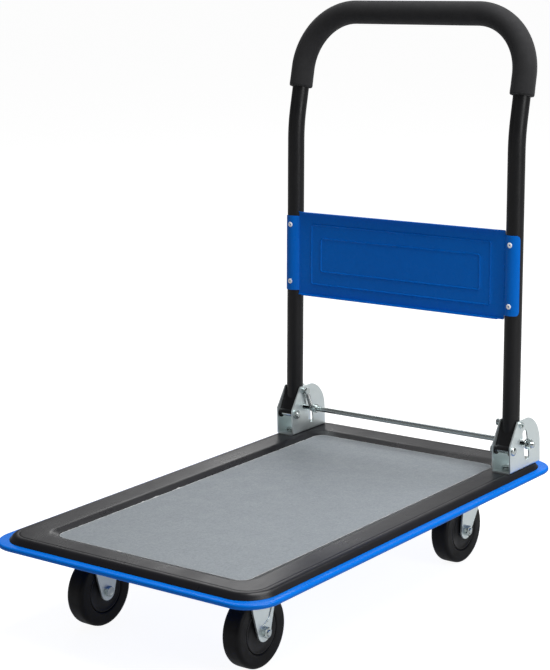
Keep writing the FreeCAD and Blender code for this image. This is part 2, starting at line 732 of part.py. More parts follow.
def make_wheels():
    """Tyre, hub, bush, axle bolt and nut for each of the four wheels."""
    for end, label, side, x, y in axle_centres():
        name = "%s_%s" % (end, label)
        tyre = body("tyre_" + name)
        ring = sketch(tyre, "YZ_Plane")
        circle(ring, "0", "0", "wheel_radius")
        pad(tyre, ring, "tyre_width", side="Symmetric")
        rim_radius = number("wheel_radius")
        round_edges(tyre, "tyre_round",
                    lambda edge: edge.Curve.TypeId == "Part::GeomCircle"
                    and abs(edge.Curve.Radius - rim_radius) < 0.01)
        seat = sketch(tyre, "YZ_Plane")
        circle(seat, "0", "0", "hub_radius")
        pocket(tyre, seat, "tyre_width + 2", side="Symmetric")
        place(tyre, x, y, "wheel_radius")
        node(tyre, "tyre_" + name)

        hub = body("hub_" + name)
        disc = sketch(hub, "YZ_Plane")
        circle(disc, "0", "0", "hub_radius")
        pad(hub, disc, "hub_width", side="Symmetric")
        edge_radius = number("hub_radius")
        round_edges(hub, "hub_groove",
                    lambda edge: edge.Curve.TypeId == "Part::GeomCircle"
                    and abs(edge.Curve.Radius - edge_radius) < 0.01)
        bore = sketch(hub, "YZ_Plane")
        circle(bore, "0", "0", "bush_radius + running_gap")
        pocket(hub, bore, "hub_width + 2", side="Symmetric")
        place(hub, x, y, "wheel_radius")
        node(hub, "wheel_hub_" + name)

        bush = cylinder("bush_radius", "fork_gap", "%s - fork_gap / 2" % x, y, "wheel_radius", "X")
        axle_hole = cylinder("axle_radius + fit_gap", "fork_gap + 2",
                             "%s - fork_gap / 2 - 1" % x, y, "wheel_radius", "X")
        node(cut(bush, axle_hole), "axle_bush_" + name)

        half = "(fork_gap / 2 + fork_sheet)"
        reach = "(%s + screw_nut + 1.5)" % half
        if side > 0:
            head_x, shank_x, nut_x = "%s - %s - screw_head" % (x, half), "%s - %s" % (x, half), \
                "%s + %s" % (x, half)
        else:
            head_x, shank_x, nut_x = "%s + %s" % (x, half), "%s - %s" % (x, reach), \
                "%s - %s - screw_nut" % (x, half)
        head = hexagon("screw_flats", "screw_head", head_x, y, "wheel_radius", "X")
        shank = cylinder("axle_radius", "%s + %s" % (half, reach), shank_x, y, "wheel_radius", "X")
        node(fuse([head, shank]), "axle_bolt_" + name)
        block = hexagon("screw_flats", "screw_nut", nut_x, y, "wheel_radius", "X")
        nut_hole = cylinder("axle_radius + fit_gap", "screw_nut + 2", "%s - 1" % nut_x, y,
                            "wheel_radius", "X")
        node(cut(block, nut_hole), "axle_nut_" + name)


# ---------------------------------------------------------------- hinge brackets

def make_brackets():
    """U channels: a base on the deck and two tall ears with the lock bar's slot and notch."""
    for label, side in SIDES:
        bracket = body("bracket_" + label)
        profile = sketch(bracket, "YZ_Plane")
        polygon_with_arc(profile, [
            ("bracket_top_rear", "%s + bracket_height" % DECK_TOP),
            ("bracket_top_front", "%s + bracket_height" % DECK_TOP),
            ("bracket_front", "%s + bracket_front_height" % DECK_TOP),
            ("bracket_front", DECK_TOP),
            ("bracket_rear", DECK_TOP),
            ("bracket_rear", "%s + bracket_height - bracket_arc" % DECK_TOP)], "bracket_arc")
        pad(bracket, profile, "bracket_width", side="Symmetric")
        channel = sketch(bracket, "XZ_Plane", "-bracket_rear - 5")
        inner = "(bracket_width / 2 - bracket_sheet)"
        rectangle(channel, "-" + inner, inner, "%s + bracket_sheet" % DECK_TOP,
                  "%s + bracket_height + 5" % DECK_TOP)
        pocket(bracket, channel, "bracket_rear - bracket_front + 10", back=True)
        outer_x, base_z = number("bracket_width / 2"), number(DECK_TOP)
        round_edges(bracket, "bracket_bend",
                    lambda edge: lies_at(base_z)(edge) and edge.BoundBox.XLength < 0.01
                    and abs(abs(edge.BoundBox.Center.x) - outer_x) < 0.01)
        for outline, sizes in (
                (stadium, ("slot_top_y", "slot_top_z", "slot_low_y", "slot_low_z", "slot_half")),
                (stadium, ("notch_y", "notch_z", "bar_y", "bar_z", "notch_half")),
                (circle, ("pivot_y", "pivot_z", "pivot_radius + pivot_gap")),
                (circle, ("stud_y", "stud_z", "stud_radius + fit_gap"))):
            hole = sketch(bracket, "YZ_Plane")
            outline(hole, *sizes)
            pocket(bracket, hole, "bracket_width + 4", side="Symmetric")
        drill = sketch(bracket, "XY_Plane", "%s - 5" % DECK_TOP)
        for y in BRACKET_BOLTS:
            circle(drill, "0", y, "screw_hole")
        pocket(bracket, drill, "bracket_sheet + 10", back=True)
        place(bracket, "%d * bracket_x" % side)
        node(bracket, "hinge_bracket_" + label)


def make_bracket_screws():
    bolts, nuts = [], []
    nut_top = "(%s - pan_sheet)" % PAN_TOP
    head_low = "(%s + bracket_sheet)" % DECK_TOP
    for _, side in SIDES:
        for y in BRACKET_BOLTS:
            x = "%d * bracket_x" % side
            head = hexagon("screw_flats", "screw_head", x, y, head_low)
            shank = cylinder("screw_radius", "%s - %s + screw_nut" % (head_low, nut_top), x, y,
                             "%s - screw_nut" % nut_top)
            bolts.append(fuse([head, shank]))
            block = hexagon("screw_flats", "screw_nut", x, y, "%s - screw_nut" % nut_top)
            bore = cylinder("screw_radius + fit_gap", "screw_nut + 2", x, y,
                            "%s - screw_nut - 1" % nut_top)
            nuts.append(cut(block, bore))
    node(group(bolts), "bracket_bolts")
    node(group(nuts), "bracket_nuts")


def make_pivots():
    """A bolt through both ears of each bracket, its head outside and its nut inside."""
    half = "(bracket_width / 2)"
    for label, side in SIDES:
        middle = "%d * bracket_x" % side
        outer_face = "%s + %s" % (middle, half)
        inner_face = "%s - %s" % (middle, half)
        nut_height = "(screw_nut - 2)"
        if side > 0:
            head_x, shank_x, nut_x = outer_face, "%s - %s - 1" % (inner_face, nut_height), \
                "%s - %s" % (inner_face, nut_height)
        else:
            head_x, shank_x, nut_x = "%s - 4" % inner_face, inner_face, outer_face
        head = cylinder("screw_flats / 2", "4", head_x, "pivot_y", "pivot_z", "X")
        shank = cylinder("pivot_radius", "bracket_width + %s + 1" % nut_height, shank_x,
                         "pivot_y", "pivot_z", "X")
        node(fuse([head, shank]), "pivot_bolt_" + label)
        block = hexagon("screw_flats", nut_height, nut_x, "pivot_y", "pivot_z", "X")
        bore = cylinder("pivot_radius + fit_gap", "%s + 2" % nut_height, "%s - 1" % nut_x,
                        "pivot_y", "pivot_z", "X")
        node(cut(block, bore), "pivot_nut_" + label)


# ---------------------------------------------------------------- lock bar and its springs

INNER_EAR = "(bracket_x - bracket_width / 2)"
OUTER_EAR = "(bracket_x + bracket_width / 2)"
SPRING_X = "(bracket_x - bracket_width / 2 - stud_length / 2)"


def cross_bar(side, near, far, radius, y, z):
    """A round bar along X between two distances from the middle, on one side."""
    start = near if side > 0 else "-(%s)" % far
    return cylinder(radius, "(%s) - (%s)" % (far, near), start, y, z, "X")


def make_spring_studs():
    for label, side in SIDES:
        tip = "%s - stud_length" % INNER_EAR
        shank = cross_bar(side, tip, "%s + bracket_sheet" % INNER_EAR, "stud_radius",
                          "stud_y", "stud_z")
        head = cross_bar(side, tip, "%s + 1.5" % tip, "stud_radius + 1.2", "stud_y", "stud_z")
        foot = cross_bar(side, "%s - 1.5" % INNER_EAR, INNER_EAR, "stud_radius + 1.2",
                         "stud_y", "stud_z")
        node(fuse([shank, head, foot]), "spring_stud_" + label)


def make_outer_studs():
    """Short hollow studs that face outwards, in line with the spring studs."""
    studs = []
    far = "%s + outer_stud" % OUTER_EAR
    for _, side in SIDES:
        shank = cross_bar(side, "%s - bracket_sheet" % OUTER_EAR, OUTER_EAR, "stud_radius",
                          "stud_y", "stud_z")
        head = cross_bar(side, OUTER_EAR, far, "stud_radius + 0.9", "stud_y", "stud_z")
        bore = cross_bar(side, "%s + 0.6" % OUTER_EAR, "%s + 1" % far, "stud_radius - 1",
                         "stud_y", "stud_z")
        studs.append(cut(fuse([shank, head]), bore))
    node(group(studs), "outer_studs")


def hook_loop(inner_radius, z):
    """One end loop of a spring, round a bar that runs along X."""
    loop = DOC.addObject("Part::Torus", "Loop")
    bind(loop, Radius1="%s + spring_wire + 0.1" % inner_radius, Radius2="spring_wire")
    place(loop, z=z)
    loop.Placement.Rotation = FreeCAD.Rotation(FreeCAD.Vector(0, 1, 0), 90)
    return loop


def make_lock_springs():
    """Tension springs: a close-wound coil between two end loops, kept as a plain tube.

    Each hangs straight down from its stud and is then swung back to the lock bar.
    """
    reach = "sqrt((bar_y - stud_y)^2 + (stud_z - bar_z)^2)"
    coil_low = "(-%s + bar_radius + 2 * spring_wire + 0.3)" % reach
    coil_high = "(-stud_radius - 2 * spring_wire - 0.3)"
    for label, side in SIDES:
        coil = cylinder("spring_outer", "%s - %s" % (coil_high, coil_low), z=coil_low)
        core = cylinder("spring_outer - 2 * spring_wire",
                        "%s - %s - 2 * spring_wire" % (coil_high, coil_low),
                        z="%s + spring_wire" % coil_low)
        low_neck = cylinder("0.8 * spring_wire", "1.2", z="%s - 0.8" % coil_low)
        high_neck = cylinder("0.8 * spring_wire", "1.2", z="%s - 0.4" % coil_high)
        low_loop = hook_loop("bar_radius", "-" + reach)
        high_loop = hook_loop("stud_radius", "0")
        spring = fuse([cut(coil, core), low_neck, high_neck, low_loop, high_loop])
        node(place(spring, "%d * %s" % (side, SPRING_X), "stud_y", "stud_z",
                   tilt="atan((bar_y - stud_y) / (stud_z - bar_z))"), "lock_spring_" + label)


def make_lock_bar():
    bar = cylinder("bar_radius", "2 * bar_end", "-bar_end", "bar_y", "bar_z", "X")
    node(bar, "lock_bar")
    collars, nuts = [], []
    collar_far = "(%s - stud_length - side_gap)" % INNER_EAR
    flange_near = "(%s + side_gap)" % OUTER_EAR
    flange_far = "(%s + flange_width)" % flange_near
    for _, side in SIDES:
        for near, far, radius in (("%s - collar_width" % collar_far, collar_far, "collar_radius"),
                                  (flange_near, flange_far, "flange_radius")):
            collar = cross_bar(side, near, far, radius, "bar_y", "bar_z")
            bore = cross_bar(side, "%s - 1" % near, "%s + 1" % far, "bar_radius + fit_gap",
                             "bar_y", "bar_z")
            collars.append(cut(collar, bore))
        nut_x = flange_far if side > 0 else "-(%s + screw_nut)" % flange_far
        block = hexagon("screw_flats", "screw_nut", nut_x, "bar_y", "bar_z", "X")
        bore = cross_bar(side, "%s - 1" % flange_far, "%s + screw_nut + 1" % flange_far,
                         "bar_radius + fit_gap", "bar_y", "bar_z")
        nuts.append(cut(block, bore))
    node(group(collars), "lock_bar_collars")
    node(group(nuts), "lock_bar_nuts")


# ---------------------------------------------------------------- the handle
# The handle's pieces are drawn about the pivot with the legs upright, then leaned back.

def lean_back(thing):
    return place(thing, "0", "pivot_y", "pivot_z", tilt="-lean")


def along_leg(height):
    """How far up the leg's middle line, from the pivot, a height above the floor lies."""
    return "((%s - pivot_z + leg_offset * sin(lean)) / cos(lean))" % height


def handle_points(start_height):
    """Corner points of the tube's middle line, from left to right."""
    kink = number(along_leg("kink_height"))
    offset = number("leg_offset")
    turn = math.radians(number("upper_lean - lean"))
    rise = number("(bar_height - kink_height) / cos(upper_lean)")
    x = number("bracket_x")
    top = (offset + rise * math.sin(turn), kink + rise * math.cos(turn))
    if start_height > number("kink_height"):
        up = (start_height - number("kink_height")) / math.cos(math.radians(number("upper_lean")))
        ends = [(offset + up * math.sin(turn), kink + up * math.cos(turn))]
    else:
        ends = [(offset, number("foot_top")), (offset, kink)]
    left = [FreeCAD.Vector(-x, y, z) for y, z in ends + [top]]
    right = [FreeCAD.Vector(-point.x, point.y, point.z) for point in reversed(left)]
    return left + right


def ready_shape(shape, lean=True):
    """A feature that carries a shape made from the sheet's sizes."""
    made = DOC.addObject("Part::Feature", "Swept")
    made.Shape = shape
    return lean_back(made) if lean else made


def rivet_places():
    """Each panel rivet's x and its height up the leg."""
    low = "%s + tab_inset + rivet_inset" % along_leg("panel_low")
    high = "%s - tab_inset - rivet_inset" % along_leg("panel_high")
    return [("%d * bracket_x" % side, z) for _, side in SIDES for z in (low, high)]


def rivet_holes():
    """Tools that drill the rivets' holes through the tabs and the tubes' front walls."""
    return [cylinder("rivet_radius + fit_gap", "2 * tube_radius", x,
                     "leg_offset - 2 * tube_radius", z, "Y")
            for x, z in rivet_places()]


def make_handle_tube():
    corner, kink = number("corner_radius"), number("kink_radius")
    path = bent_path(handle_points(0), [kink, corner, corner, kink])
    outer = bar_along(path, number("tube_radius"))
    bore = bar_along(path, number("tube_radius - tube_wall"))
    tube = ready_shape(outer.cut(bore), lean=False)
    node(lean_back(cut(tube, group(rivet_holes()))), "handle_tube")


def make_grip():
    corner = number("corner_radius")
    path = bent_path(handle_points(number("grip_end_height")), [corner, corner])
    foam = bar_along(path, number("grip_radius"))
    bore = bar_along(path, number("tube_radius + fit_gap"))
    node(ready_shape(foam.cut(bore)), "handle_grip")


def make_leg_feet():
    """Clevis feet: a saddle hugs the tube's front, a cap closes its end, two cheeks hold the pin."""
    for label, side in SIDES:
        foot = body("foot_" + label)
        profile = sketch(foot, "YZ_Plane")
        polygon(profile, [
            ("-pivot_radius - 1.2", "1"),
            ("leg_offset - 4", "foot_top + 28.5"),
            ("leg_offset - 3", "foot_top + 28.5"),
            ("leg_offset - 3", "foot_top"),
            ("leg_offset + tube_radius - 0.2", "foot_top"),
            ("leg_offset + tube_radius - 0.2", "foot_top - 1.5"),
            ("leg_offset - 0.5", "foot_top - 1.5"),
            ("0.94 * leg_offset", "0.35 * leg_offset"),
            ("0.7 * leg_offset", "-4.5"),
            ("pivot_radius + 0.6", "-4.5"),
            ("pivot_radius + 0.6", "1")])
        pad(foot, profile, "foot_width", side="Symmetric")
        boss = sketch(foot, "YZ_Plane")
        circle(boss, "0", "0", "foot_boss")
        pad(foot, boss, "foot_width", side="Symmetric")
        clevis = sketch(foot, "YZ_Plane")
        rectangle(clevis, "-2 * foot_boss", "pivot_radius + 0.6", "-2 * foot_boss", "1")
        pocket(foot, clevis, "foot_clevis", side="Symmetric")
        pin = sketch(foot, "YZ_Plane")
        circle(pin, "0", "0", "pivot_radius + pivot_gap")
        pocket(foot, pin, "foot_width + 4", side="Symmetric")
        socket = sketch(foot, "XY_Plane", "foot_top")
        circle(socket, "0", "leg_offset", "tube_radius")
        pocket(foot, socket, "40", back=True)
        node(place(foot, "%d * bracket_x" % side, "pivot_y", "pivot_z", tilt="-lean"),
             "leg_foot_" + label)


def make_panel():
    """A sheet between the legs: wrapped tabs at its ends, folded lips, two pressed outlines."""
    low, high = along_leg("panel_low"), along_leg("panel_high")
    back_y = "(leg_offset - panel_ahead + panel_sheet / 2)"
    front_y = "(leg_offset - panel_ahead - panel_sheet / 2)"
    reach = "(bracket_x - sqrt((tube_radius + panel_sheet)^2 - panel_ahead^2) + 0.6)"
    panel = body("panel")
    section = sketch(panel, "XY_Plane", low)
    rectangle(section, "-" + reach, reach, front_y, back_y)
    pad(panel, section, "%s - %s" % (high, low))
    for edge_z in (low, "%s - panel_sheet" % high):
        lip = sketch(panel, "XY_Plane", edge_z)
        rectangle(lip, "-panel_lip_end", "panel_lip_end", "%s - panel_lip" % front_y,
                  "%s + 0.5" % front_y)
        pad(panel, lip, "panel_sheet")
    for end_inset, edge_inset in (("23.3", "17.7"), ("41.7", "38.7")):
        rib = sketch(panel, "XZ_Plane", "-" + front_y)
        for grown in ("0", "rib_width"):
            end, edge = "(%s + %s)" % (end_inset, grown), "(%s + %s)" % (edge_inset, grown)
            rounded_rectangle(rib, "-(%s - %s)" % (reach, end), "%s - %s" % (reach, end),
                              "%s + %s" % (low, edge), "%s - %s" % (high, edge),
                              "rib_corner - %s" % grown)
        pad(panel, rib, "rib_height")
    tabs = []
    tab_low, tab_height = "%s + tab_inset" % low, "%s - %s - 2 * tab_inset" % (high, low)
    for _, side in SIDES:
        x = "%d * bracket_x" % side
        wrap = cylinder("tube_radius + panel_sheet + fit_gap", tab_height, x, "leg_offset",
                        tab_low)
        front = DOC.addObject("Part::Box", "Front")
        bind(front, Length="4 * tube_radius", Width="2 * tube_radius", Height=tab_height)
        place(front, "%s - 2 * tube_radius" % x, "%s - 2 * tube_radius" % back_y, tab_low)
        common = DOC.addObject("Part::Common", "Tab")
        common.Base, common.Tool = wrap, front
        tabs.append(common)
    tubes = [cylinder("tube_radius + fit_gap", "2000", "%d * bracket_x" % side, "leg_offset", "0")
             for _, side in SIDES]
    whole = cut(fuse([panel] + tabs), group(tubes + rivet_holes()))
    node(lean_back(whole), "handle_panel")


def make_rivets():
    rivets = []
    face = "(leg_offset - tube_radius - panel_sheet - fit_gap)"
    for x, z in rivet_places():
        shank = cylinder("rivet_radius", "tube_wall + panel_sheet + 2", x, face, z, "Y")
        dome = DOC.addObject("Part::Sphere", "Dome")
        bind(dome, Radius="rivet_head * 1.6")
        place(dome, x, "%s + rivet_head * 1.6 * cos(asin(1 / 1.6))" % face, z)
        flat = DOC.addObject("Part::Box", "Trim")
        bind(flat, Length="20", Width="20", Height="20")
        place(flat, "%s - 10" % x, face, "%s - 10" % z)
        rivets.append(fuse([shank, cut(dome, flat)]))
    node(lean_back(group(rivets)), "panel_rivets")


# ---------------------------------------------------------------- build, check and write

def check_document():
    for thing in DOC.Objects:
        if "Invalid" in thing.State or "Error" in thing.State:
            raise RuntimeError("%s (%s) did not build: %s" % (thing.Name, thing.Label, thing.State))
    for name, thing in NODES.items():
        if thing.Shape.isNull() or not thing.Shape.isValid():
            raise RuntimeError("%s has no valid shape" % name)


def write_steps():
    os.makedirs("parts", exist_ok=True)
    for name, thing in NODES.items():
        thing.Shape.exportStep("parts/%s.step" % name)


fill_sheet()
make_deck()
make_rails()
make_fixed_forks()
make_swivels()
make_wheels()
make_caster_screws()
make_brackets()
make_bracket_screws()
make_pivots()
make_spring_studs()
make_outer_studs()
make_lock_springs()
make_lock_bar()
make_handle_tube()
make_leg_feet()
make_grip()
make_panel()
make_rivets()
DOC.recompute()
check_document()
write_steps()
print("%d nodes written" % len(NODES))
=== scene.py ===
"""Looks for the folding platform cart: materials, detailed pieces, floor, light and camera."""
import json
import math
import bmesh
import bpy
from mathutils import Matrix, Vector, noise


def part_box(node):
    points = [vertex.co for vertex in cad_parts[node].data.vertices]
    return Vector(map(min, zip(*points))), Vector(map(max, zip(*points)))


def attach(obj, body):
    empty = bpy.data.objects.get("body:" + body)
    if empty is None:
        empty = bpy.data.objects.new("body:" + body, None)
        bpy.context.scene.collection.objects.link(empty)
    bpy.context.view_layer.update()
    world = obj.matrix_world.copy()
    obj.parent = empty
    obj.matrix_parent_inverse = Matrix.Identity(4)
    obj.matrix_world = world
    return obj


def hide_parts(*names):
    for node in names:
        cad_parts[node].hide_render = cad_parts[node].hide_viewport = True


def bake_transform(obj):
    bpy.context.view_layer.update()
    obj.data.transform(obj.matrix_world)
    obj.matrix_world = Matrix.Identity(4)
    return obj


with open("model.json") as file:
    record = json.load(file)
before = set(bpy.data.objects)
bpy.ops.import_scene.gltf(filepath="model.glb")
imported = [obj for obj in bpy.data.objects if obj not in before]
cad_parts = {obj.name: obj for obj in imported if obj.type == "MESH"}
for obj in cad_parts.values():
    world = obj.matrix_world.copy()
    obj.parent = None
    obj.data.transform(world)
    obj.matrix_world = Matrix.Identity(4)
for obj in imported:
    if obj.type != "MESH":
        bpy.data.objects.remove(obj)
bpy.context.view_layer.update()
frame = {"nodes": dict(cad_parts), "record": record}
NODES = frame["nodes"]
SIDES = (("left", -1), ("right", 1))
WHEELS = [(end, label, side) for end in ("front", "rear") for label, side in SIDES]
MM = 0.001


# ---------------------------------------------------------------- material helpers

class Paint:
    """A Principled material with short calls for procedural detail."""

    def __init__(self, name, color, rough, metallic=0.0, coat=0.0, sheen=0.0, specular=0.5):
        self.mat = bpy.data.materials.new(name)
        self.mat.use_nodes = True
        self.tree = self.mat.node_tree
        self.bsdf = self.tree.nodes["Principled BSDF"]
        for socket, value in (("Base Color", (*color, 1.0)), ("Roughness", rough),
                              ("Metallic", metallic), ("Coat Weight", coat),
                              ("Coat Roughness", 0.05), ("Sheen Weight", sheen),
                              ("Specular IOR Level", specular)):
            self.bsdf.inputs[socket].default_value = value
        self.normal = None

    def node(self, kind, **inputs):
        made = self.tree.nodes.new("ShaderNode" + kind)
        for name, value in inputs.items():
            made.inputs[name.replace("_", " ")].default_value = value
        return made

    def link(self, source, target):
        self.tree.links.new(source, target)

    def place(self, stretch=(1, 1, 1)):
        """Object coordinates, scaled along each axis."""
        coords = self.node("TexCoord")
        mapping = self.node("Mapping", Scale=stretch)
        self.link(coords.outputs["Object"], mapping.inputs["Vector"])
        return mapping.outputs["Vector"]

    def noise(self, scale, detail, rough=0.55, stretch=(1, 1, 1)):
        made = self.node("TexNoise", Scale=scale, Detail=detail, Roughness=rough)
        self.link(self.place(stretch), made.inputs["Vector"])
        return made.outputs["Fac"]

    def cells(self, scale, feature="F1"):
        made = self.node("TexVoronoi", Scale=scale)
        made.feature = feature
        self.link(self.place(), made.inputs["Vector"])
        return made.outputs["Distance"]

    def tint(self, source, first, second):
        """Blend two colours by a texture value and use them as the base colour."""
        ramp = self.node("ValToRGB")
        ramp.color_ramp.elements[0].color = (*first, 1)
        ramp.color_ramp.elements[1].color = (*second, 1)
        self.link(source, ramp.inputs["Fac"])
        self.link(ramp.outputs["Color"], self.bsdf.inputs["Base Color"])

    def rough(self, source, low, high):
        """Spread a texture's middle values, 0.3 to 0.7, over a range of roughness."""
        spread = self.node("MapRange", From_Min=0.3, From_Max=0.7, To_Min=low, To_Max=high)
        self.link(source, spread.inputs["Value"])
        self.link(spread.outputs["Result"], self.bsdf.inputs["Roughness"])

    def bump(self, source, strength, distance):
        """Raise the surface by a texture, on top of the bumps that it has already."""
        made = self.node("Bump", Strength=strength, Distance=distance)
        self.link(source, made.inputs["Height"])
        if self.normal:
            self.link(self.normal, made.inputs["Normal"])
        self.normal = made.outputs["Normal"]
        self.link(self.normal, self.bsdf.inputs["Normal"])


def make_materials():
    mats = {}

    paint = Paint("blue_enamel", (0.001, 0.15, 0.66), 0.24, coat=0.10, specular=0.06)
    paint.tint(paint.noise(9, 4), (0.0, 0.137, 0.62), (0.0, 0.163, 0.68))
    paint.rough(paint.noise(35, 5), 0.20, 0.34)
    paint.bump(paint.noise(700, 2), 0.10, 0.0004)
    mats["blue_paint"] = paint.mat

    paint = Paint("rail_enamel", (0.001, 0.12, 0.58), 0.3, coat=0.10, specular=0.25)
    paint.tint(paint.noise(14, 4), (0.0005, 0.10, 0.50), (0.001, 0.14, 0.62))
    paint.rough(paint.noise(40, 5), 0.25, 0.45)
    paint.bump(paint.noise(600, 2), 0.12, 0.0004)
    mats["rail_paint"] = paint.mat

    vinyl = Paint("black_vinyl", (0.009, 0.009, 0.011), 0.32, specular=0.28)
    vinyl.tint(vinyl.noise(11, 6), (0.007, 0.007, 0.009), (0.013, 0.013, 0.0155))
    vinyl.rough(vinyl.noise(16, 6, stretch=(1, 0.35, 1)), 0.24, 0.38)
    vinyl.bump(vinyl.cells(1500, feature="SMOOTH_F1"), 0.16, 0.0003)
    vinyl.bump(vinyl.noise(26, 3), 0.12, 0.003)
    mats["vinyl_border"] = vinyl.mat

    mat = Paint("grey_mat", (0.19, 0.212, 0.23), 0.6, specular=0.3)
    mat.tint(mat.noise(330, 6, 0.8), (0.10, 0.112, 0.122), (0.37, 0.405, 0.435))
    mat.rough(mat.noise(30, 4), 0.5, 0.7)
    mat.bump(mat.noise(1300, 3, 0.7), 0.5, 0.0006)
    mats["mat"] = mat.mat

    # Pale paint for the bead round the mat: a painted highlight along the mat's edge, with real
    # dust flecks at the front left.
    edge = Paint("pale_mat_bead_highlight_and_dust", (0.55, 0.56, 0.56), 0.7)
    edge.tint(edge.noise(300, 4), (0.34, 0.35, 0.36), (0.80, 0.81, 0.80))
    edge.rough(edge.noise(500, 3), 0.6, 0.85)
    edge.bump(edge.noise(1500, 3), 0.3, 0.0003)
    mats["mat_edge"] = edge.mat

    sheet = Paint("zinc_sheet", (0.68, 0.75, 0.75), 0.38, metallic=0.85)
    sheet.tint(sheet.noise(60, 6, 0.65), (0.73, 0.82, 0.83), (0.83, 0.89, 0.89))
    sheet.rough(sheet.noise(90, 6, 0.7), 0.30, 0.46)
    sheet.bump(sheet.noise(160, 3), 0.05, 0.0006)
    mats["zinc_sheet"] = sheet.mat

    steel = Paint("zinc_hardware", (0.47, 0.53, 0.53), 0.2, metallic=1.0)
    steel.tint(steel.noise(90, 5, 0.65), (0.50, 0.56, 0.56), (0.64, 0.69, 0.685))
    steel.rough(steel.noise(120, 4, 0.6), 0.15, 0.28)
    steel.bump(steel.noise(500, 3), 0.02, 0.0003)
    mats["zinc_hardware"] = steel.mat

    spring = Paint("spring_steel", (0.55, 0.57, 0.57), 0.28, metallic=1.0)
    spring.rough(spring.noise(900, 3), 0.2, 0.4)
    spring.bump(spring.noise(1500, 2), 0.1, 0.0002)
    mats["spring_steel"] = spring.mat

    tube = Paint("black_powder_coat", (0.006, 0.006, 0.007), 0.36, specular=0.35)
    tube.tint(tube.noise(18, 4), (0.005, 0.005, 0.006), (0.008, 0.008, 0.009))
    tube.rough(tube.noise(45, 5), 0.30, 0.42)
    tube.bump(tube.noise(900, 2), 0.15, 0.0003)
    mats["black_tube"] = tube.mat
    mats["black_foot"] = tube.mat

    foam = Paint("foam", (0.016, 0.016, 0.017), 0.85, sheen=0.12, specular=0.25)
    foam.bsdf.inputs["Sheen Roughness"].default_value = 0.4
    foam.tint(foam.noise(700, 4, 0.7), (0.014, 0.014, 0.015), (0.030, 0.030, 0.032))
    foam.rough(foam.noise(60, 4), 0.75, 0.92)
    foam.bump(foam.cells(1100), 0.35, 0.0006)
    foam.bump(foam.noise(40, 3), 0.12, 0.002)
    mats["foam"] = foam.mat

    # Near-white diffuse paint on the rivet domes, not polished metal: a painted reflection of the
    # white surround.
    alloy = Paint("rivet_alloy", (0.97, 0.97, 0.97), 0.36)
    alloy.rough(alloy.noise(900, 3), 0.22, 0.42)
    alloy.bump(alloy.noise(1400, 2), 0.08, 0.0002)
    mats["rivet_alloy"] = alloy.mat

    tyre = Paint("tyre_rubber", (0.004, 0.004, 0.005), 0.42, specular=0.2)
    tyre.tint(tyre.noise(50, 5), (0.0025, 0.0025, 0.003), (0.006, 0.006, 0.007))
    tyre.rough(tyre.noise(70, 6), 0.32, 0.52)
    tyre.bump(tyre.noise(800, 4), 0.2, 0.0003)
    mats["tyre"] = tyre.mat

    hub = Paint("hub_plastic", (0.010, 0.010, 0.011), 0.4, specular=0.3)
    hub.tint(hub.noise(60, 4), (0.008, 0.008, 0.009), (0.014, 0.014, 0.015))
    hub.rough(hub.noise(90, 5), 0.34, 0.5)
    hub.bump(hub.noise(900, 3), 0.15, 0.0002)
    mats["hub"] = hub.mat
    return mats


MATS = make_materials()
SLOT_OF = {part["node"]: part["material_slot"] for part in frame["record"]["subparts"]}


def dress_cad_nodes():
    """Give every CAD node the material of its slot."""
    for name, thing in NODES.items():
        thing.data.materials.clear()
        thing.data.materials.append(MATS[SLOT_OF[name]])


# ---------------------------------------------------------------- mesh helpers

def grid_faces(rows, columns, wrap_rows):
    """Quads over rings of points stored row by row; the columns always close."""
    faces = []
    for row in range(rows if wrap_rows else rows - 1):
        here, below = row * columns, (row + 1) % rows * columns
        for column in range(columns):
            following = (column + 1) % columns
            faces.append((here + column, here + following, below + following, below + column))
    return faces


def circle(centre, side, other, radius, segments):
    """Points round a centre, in the plane of two unit vectors."""
    turns = (2 * math.pi * step / segments for step in range(segments))
    return [centre + (side * math.cos(turn) + other * math.sin(turn)) * radius for turn in turns]


def in_mm(pairs):
    return [(first * MM, second * MM) for first, second in pairs]


class Shape:
    """Points and faces gathered from several surfaces."""

    def __init__(self):
        self.points = []
        self.faces = []

    def add_rows(self, rows, wrap_rows=False, caps=False):
        """A surface through rings of points; caps close its first and last ring."""
        count = len(rows[0])
        faces = grid_faces(len(rows), count, wrap_rows)
        if caps:
            last = (len(rows) - 1) * count
            faces.append(tuple(reversed(range(count))))
            faces.append(tuple(last + index for index in range(count)))
        first = len(self.points)
        self.points += [tuple(point) for row in rows for point in row]
        self.faces += [tuple(first + index for index in face) for face in faces]
        return self

    def lathe(self, profile, centre, axis, segments, closed=True):
        """Turn a profile of (radius, along) round an axis."""
        axis = Vector(axis).normalized()
        side = axis.orthogonal().normalized()
        other = axis.cross(side)
        rows = [circle(Vector(centre) + axis * along, side, other, radius, segments)
                for radius, along in profile]
        return self.add_rows(rows, wrap_rows=closed, caps=not closed)

    def sweep(self, path, radii, segments, bore=None):
        """A round bar along a path of points, with a radius at each point."""
        rings = rings_along(path, radii, segments)
        if bore is None:
            return self.add_rows(rings, caps=True)
        inside = rings_along(path, [bore] * len(path), segments)
        return self.add_rows(rings + inside[::-1], wrap_rows=True)

    def finish(self, name, body, slot, *nodes, sharp=40, look=None):
        """Make the object, parent it to its body's empty when one is given, and hide the CAD nodes
        that it stands in for.
        """
        mesh = bpy.data.meshes.new(name)
        mesh.from_pydata(self.points, [], self.faces)
        build = bmesh.new()
        build.from_mesh(mesh)
        bmesh.ops.recalc_face_normals(build, faces=build.faces)
        build.to_mesh(mesh)
        build.free()
        for face in mesh.polygons:
            face.use_smooth = True
        mesh.set_sharp_from_angle(angle=math.radians(sharp))
        mesh.materials.append(MATS[look or slot])
        thing = bpy.data.objects.new(name, mesh)
        bpy.context.scene.collection.objects.link(thing)
        if body:
            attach(thing, body)
        if nodes:
            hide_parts(*nodes)
        return thing


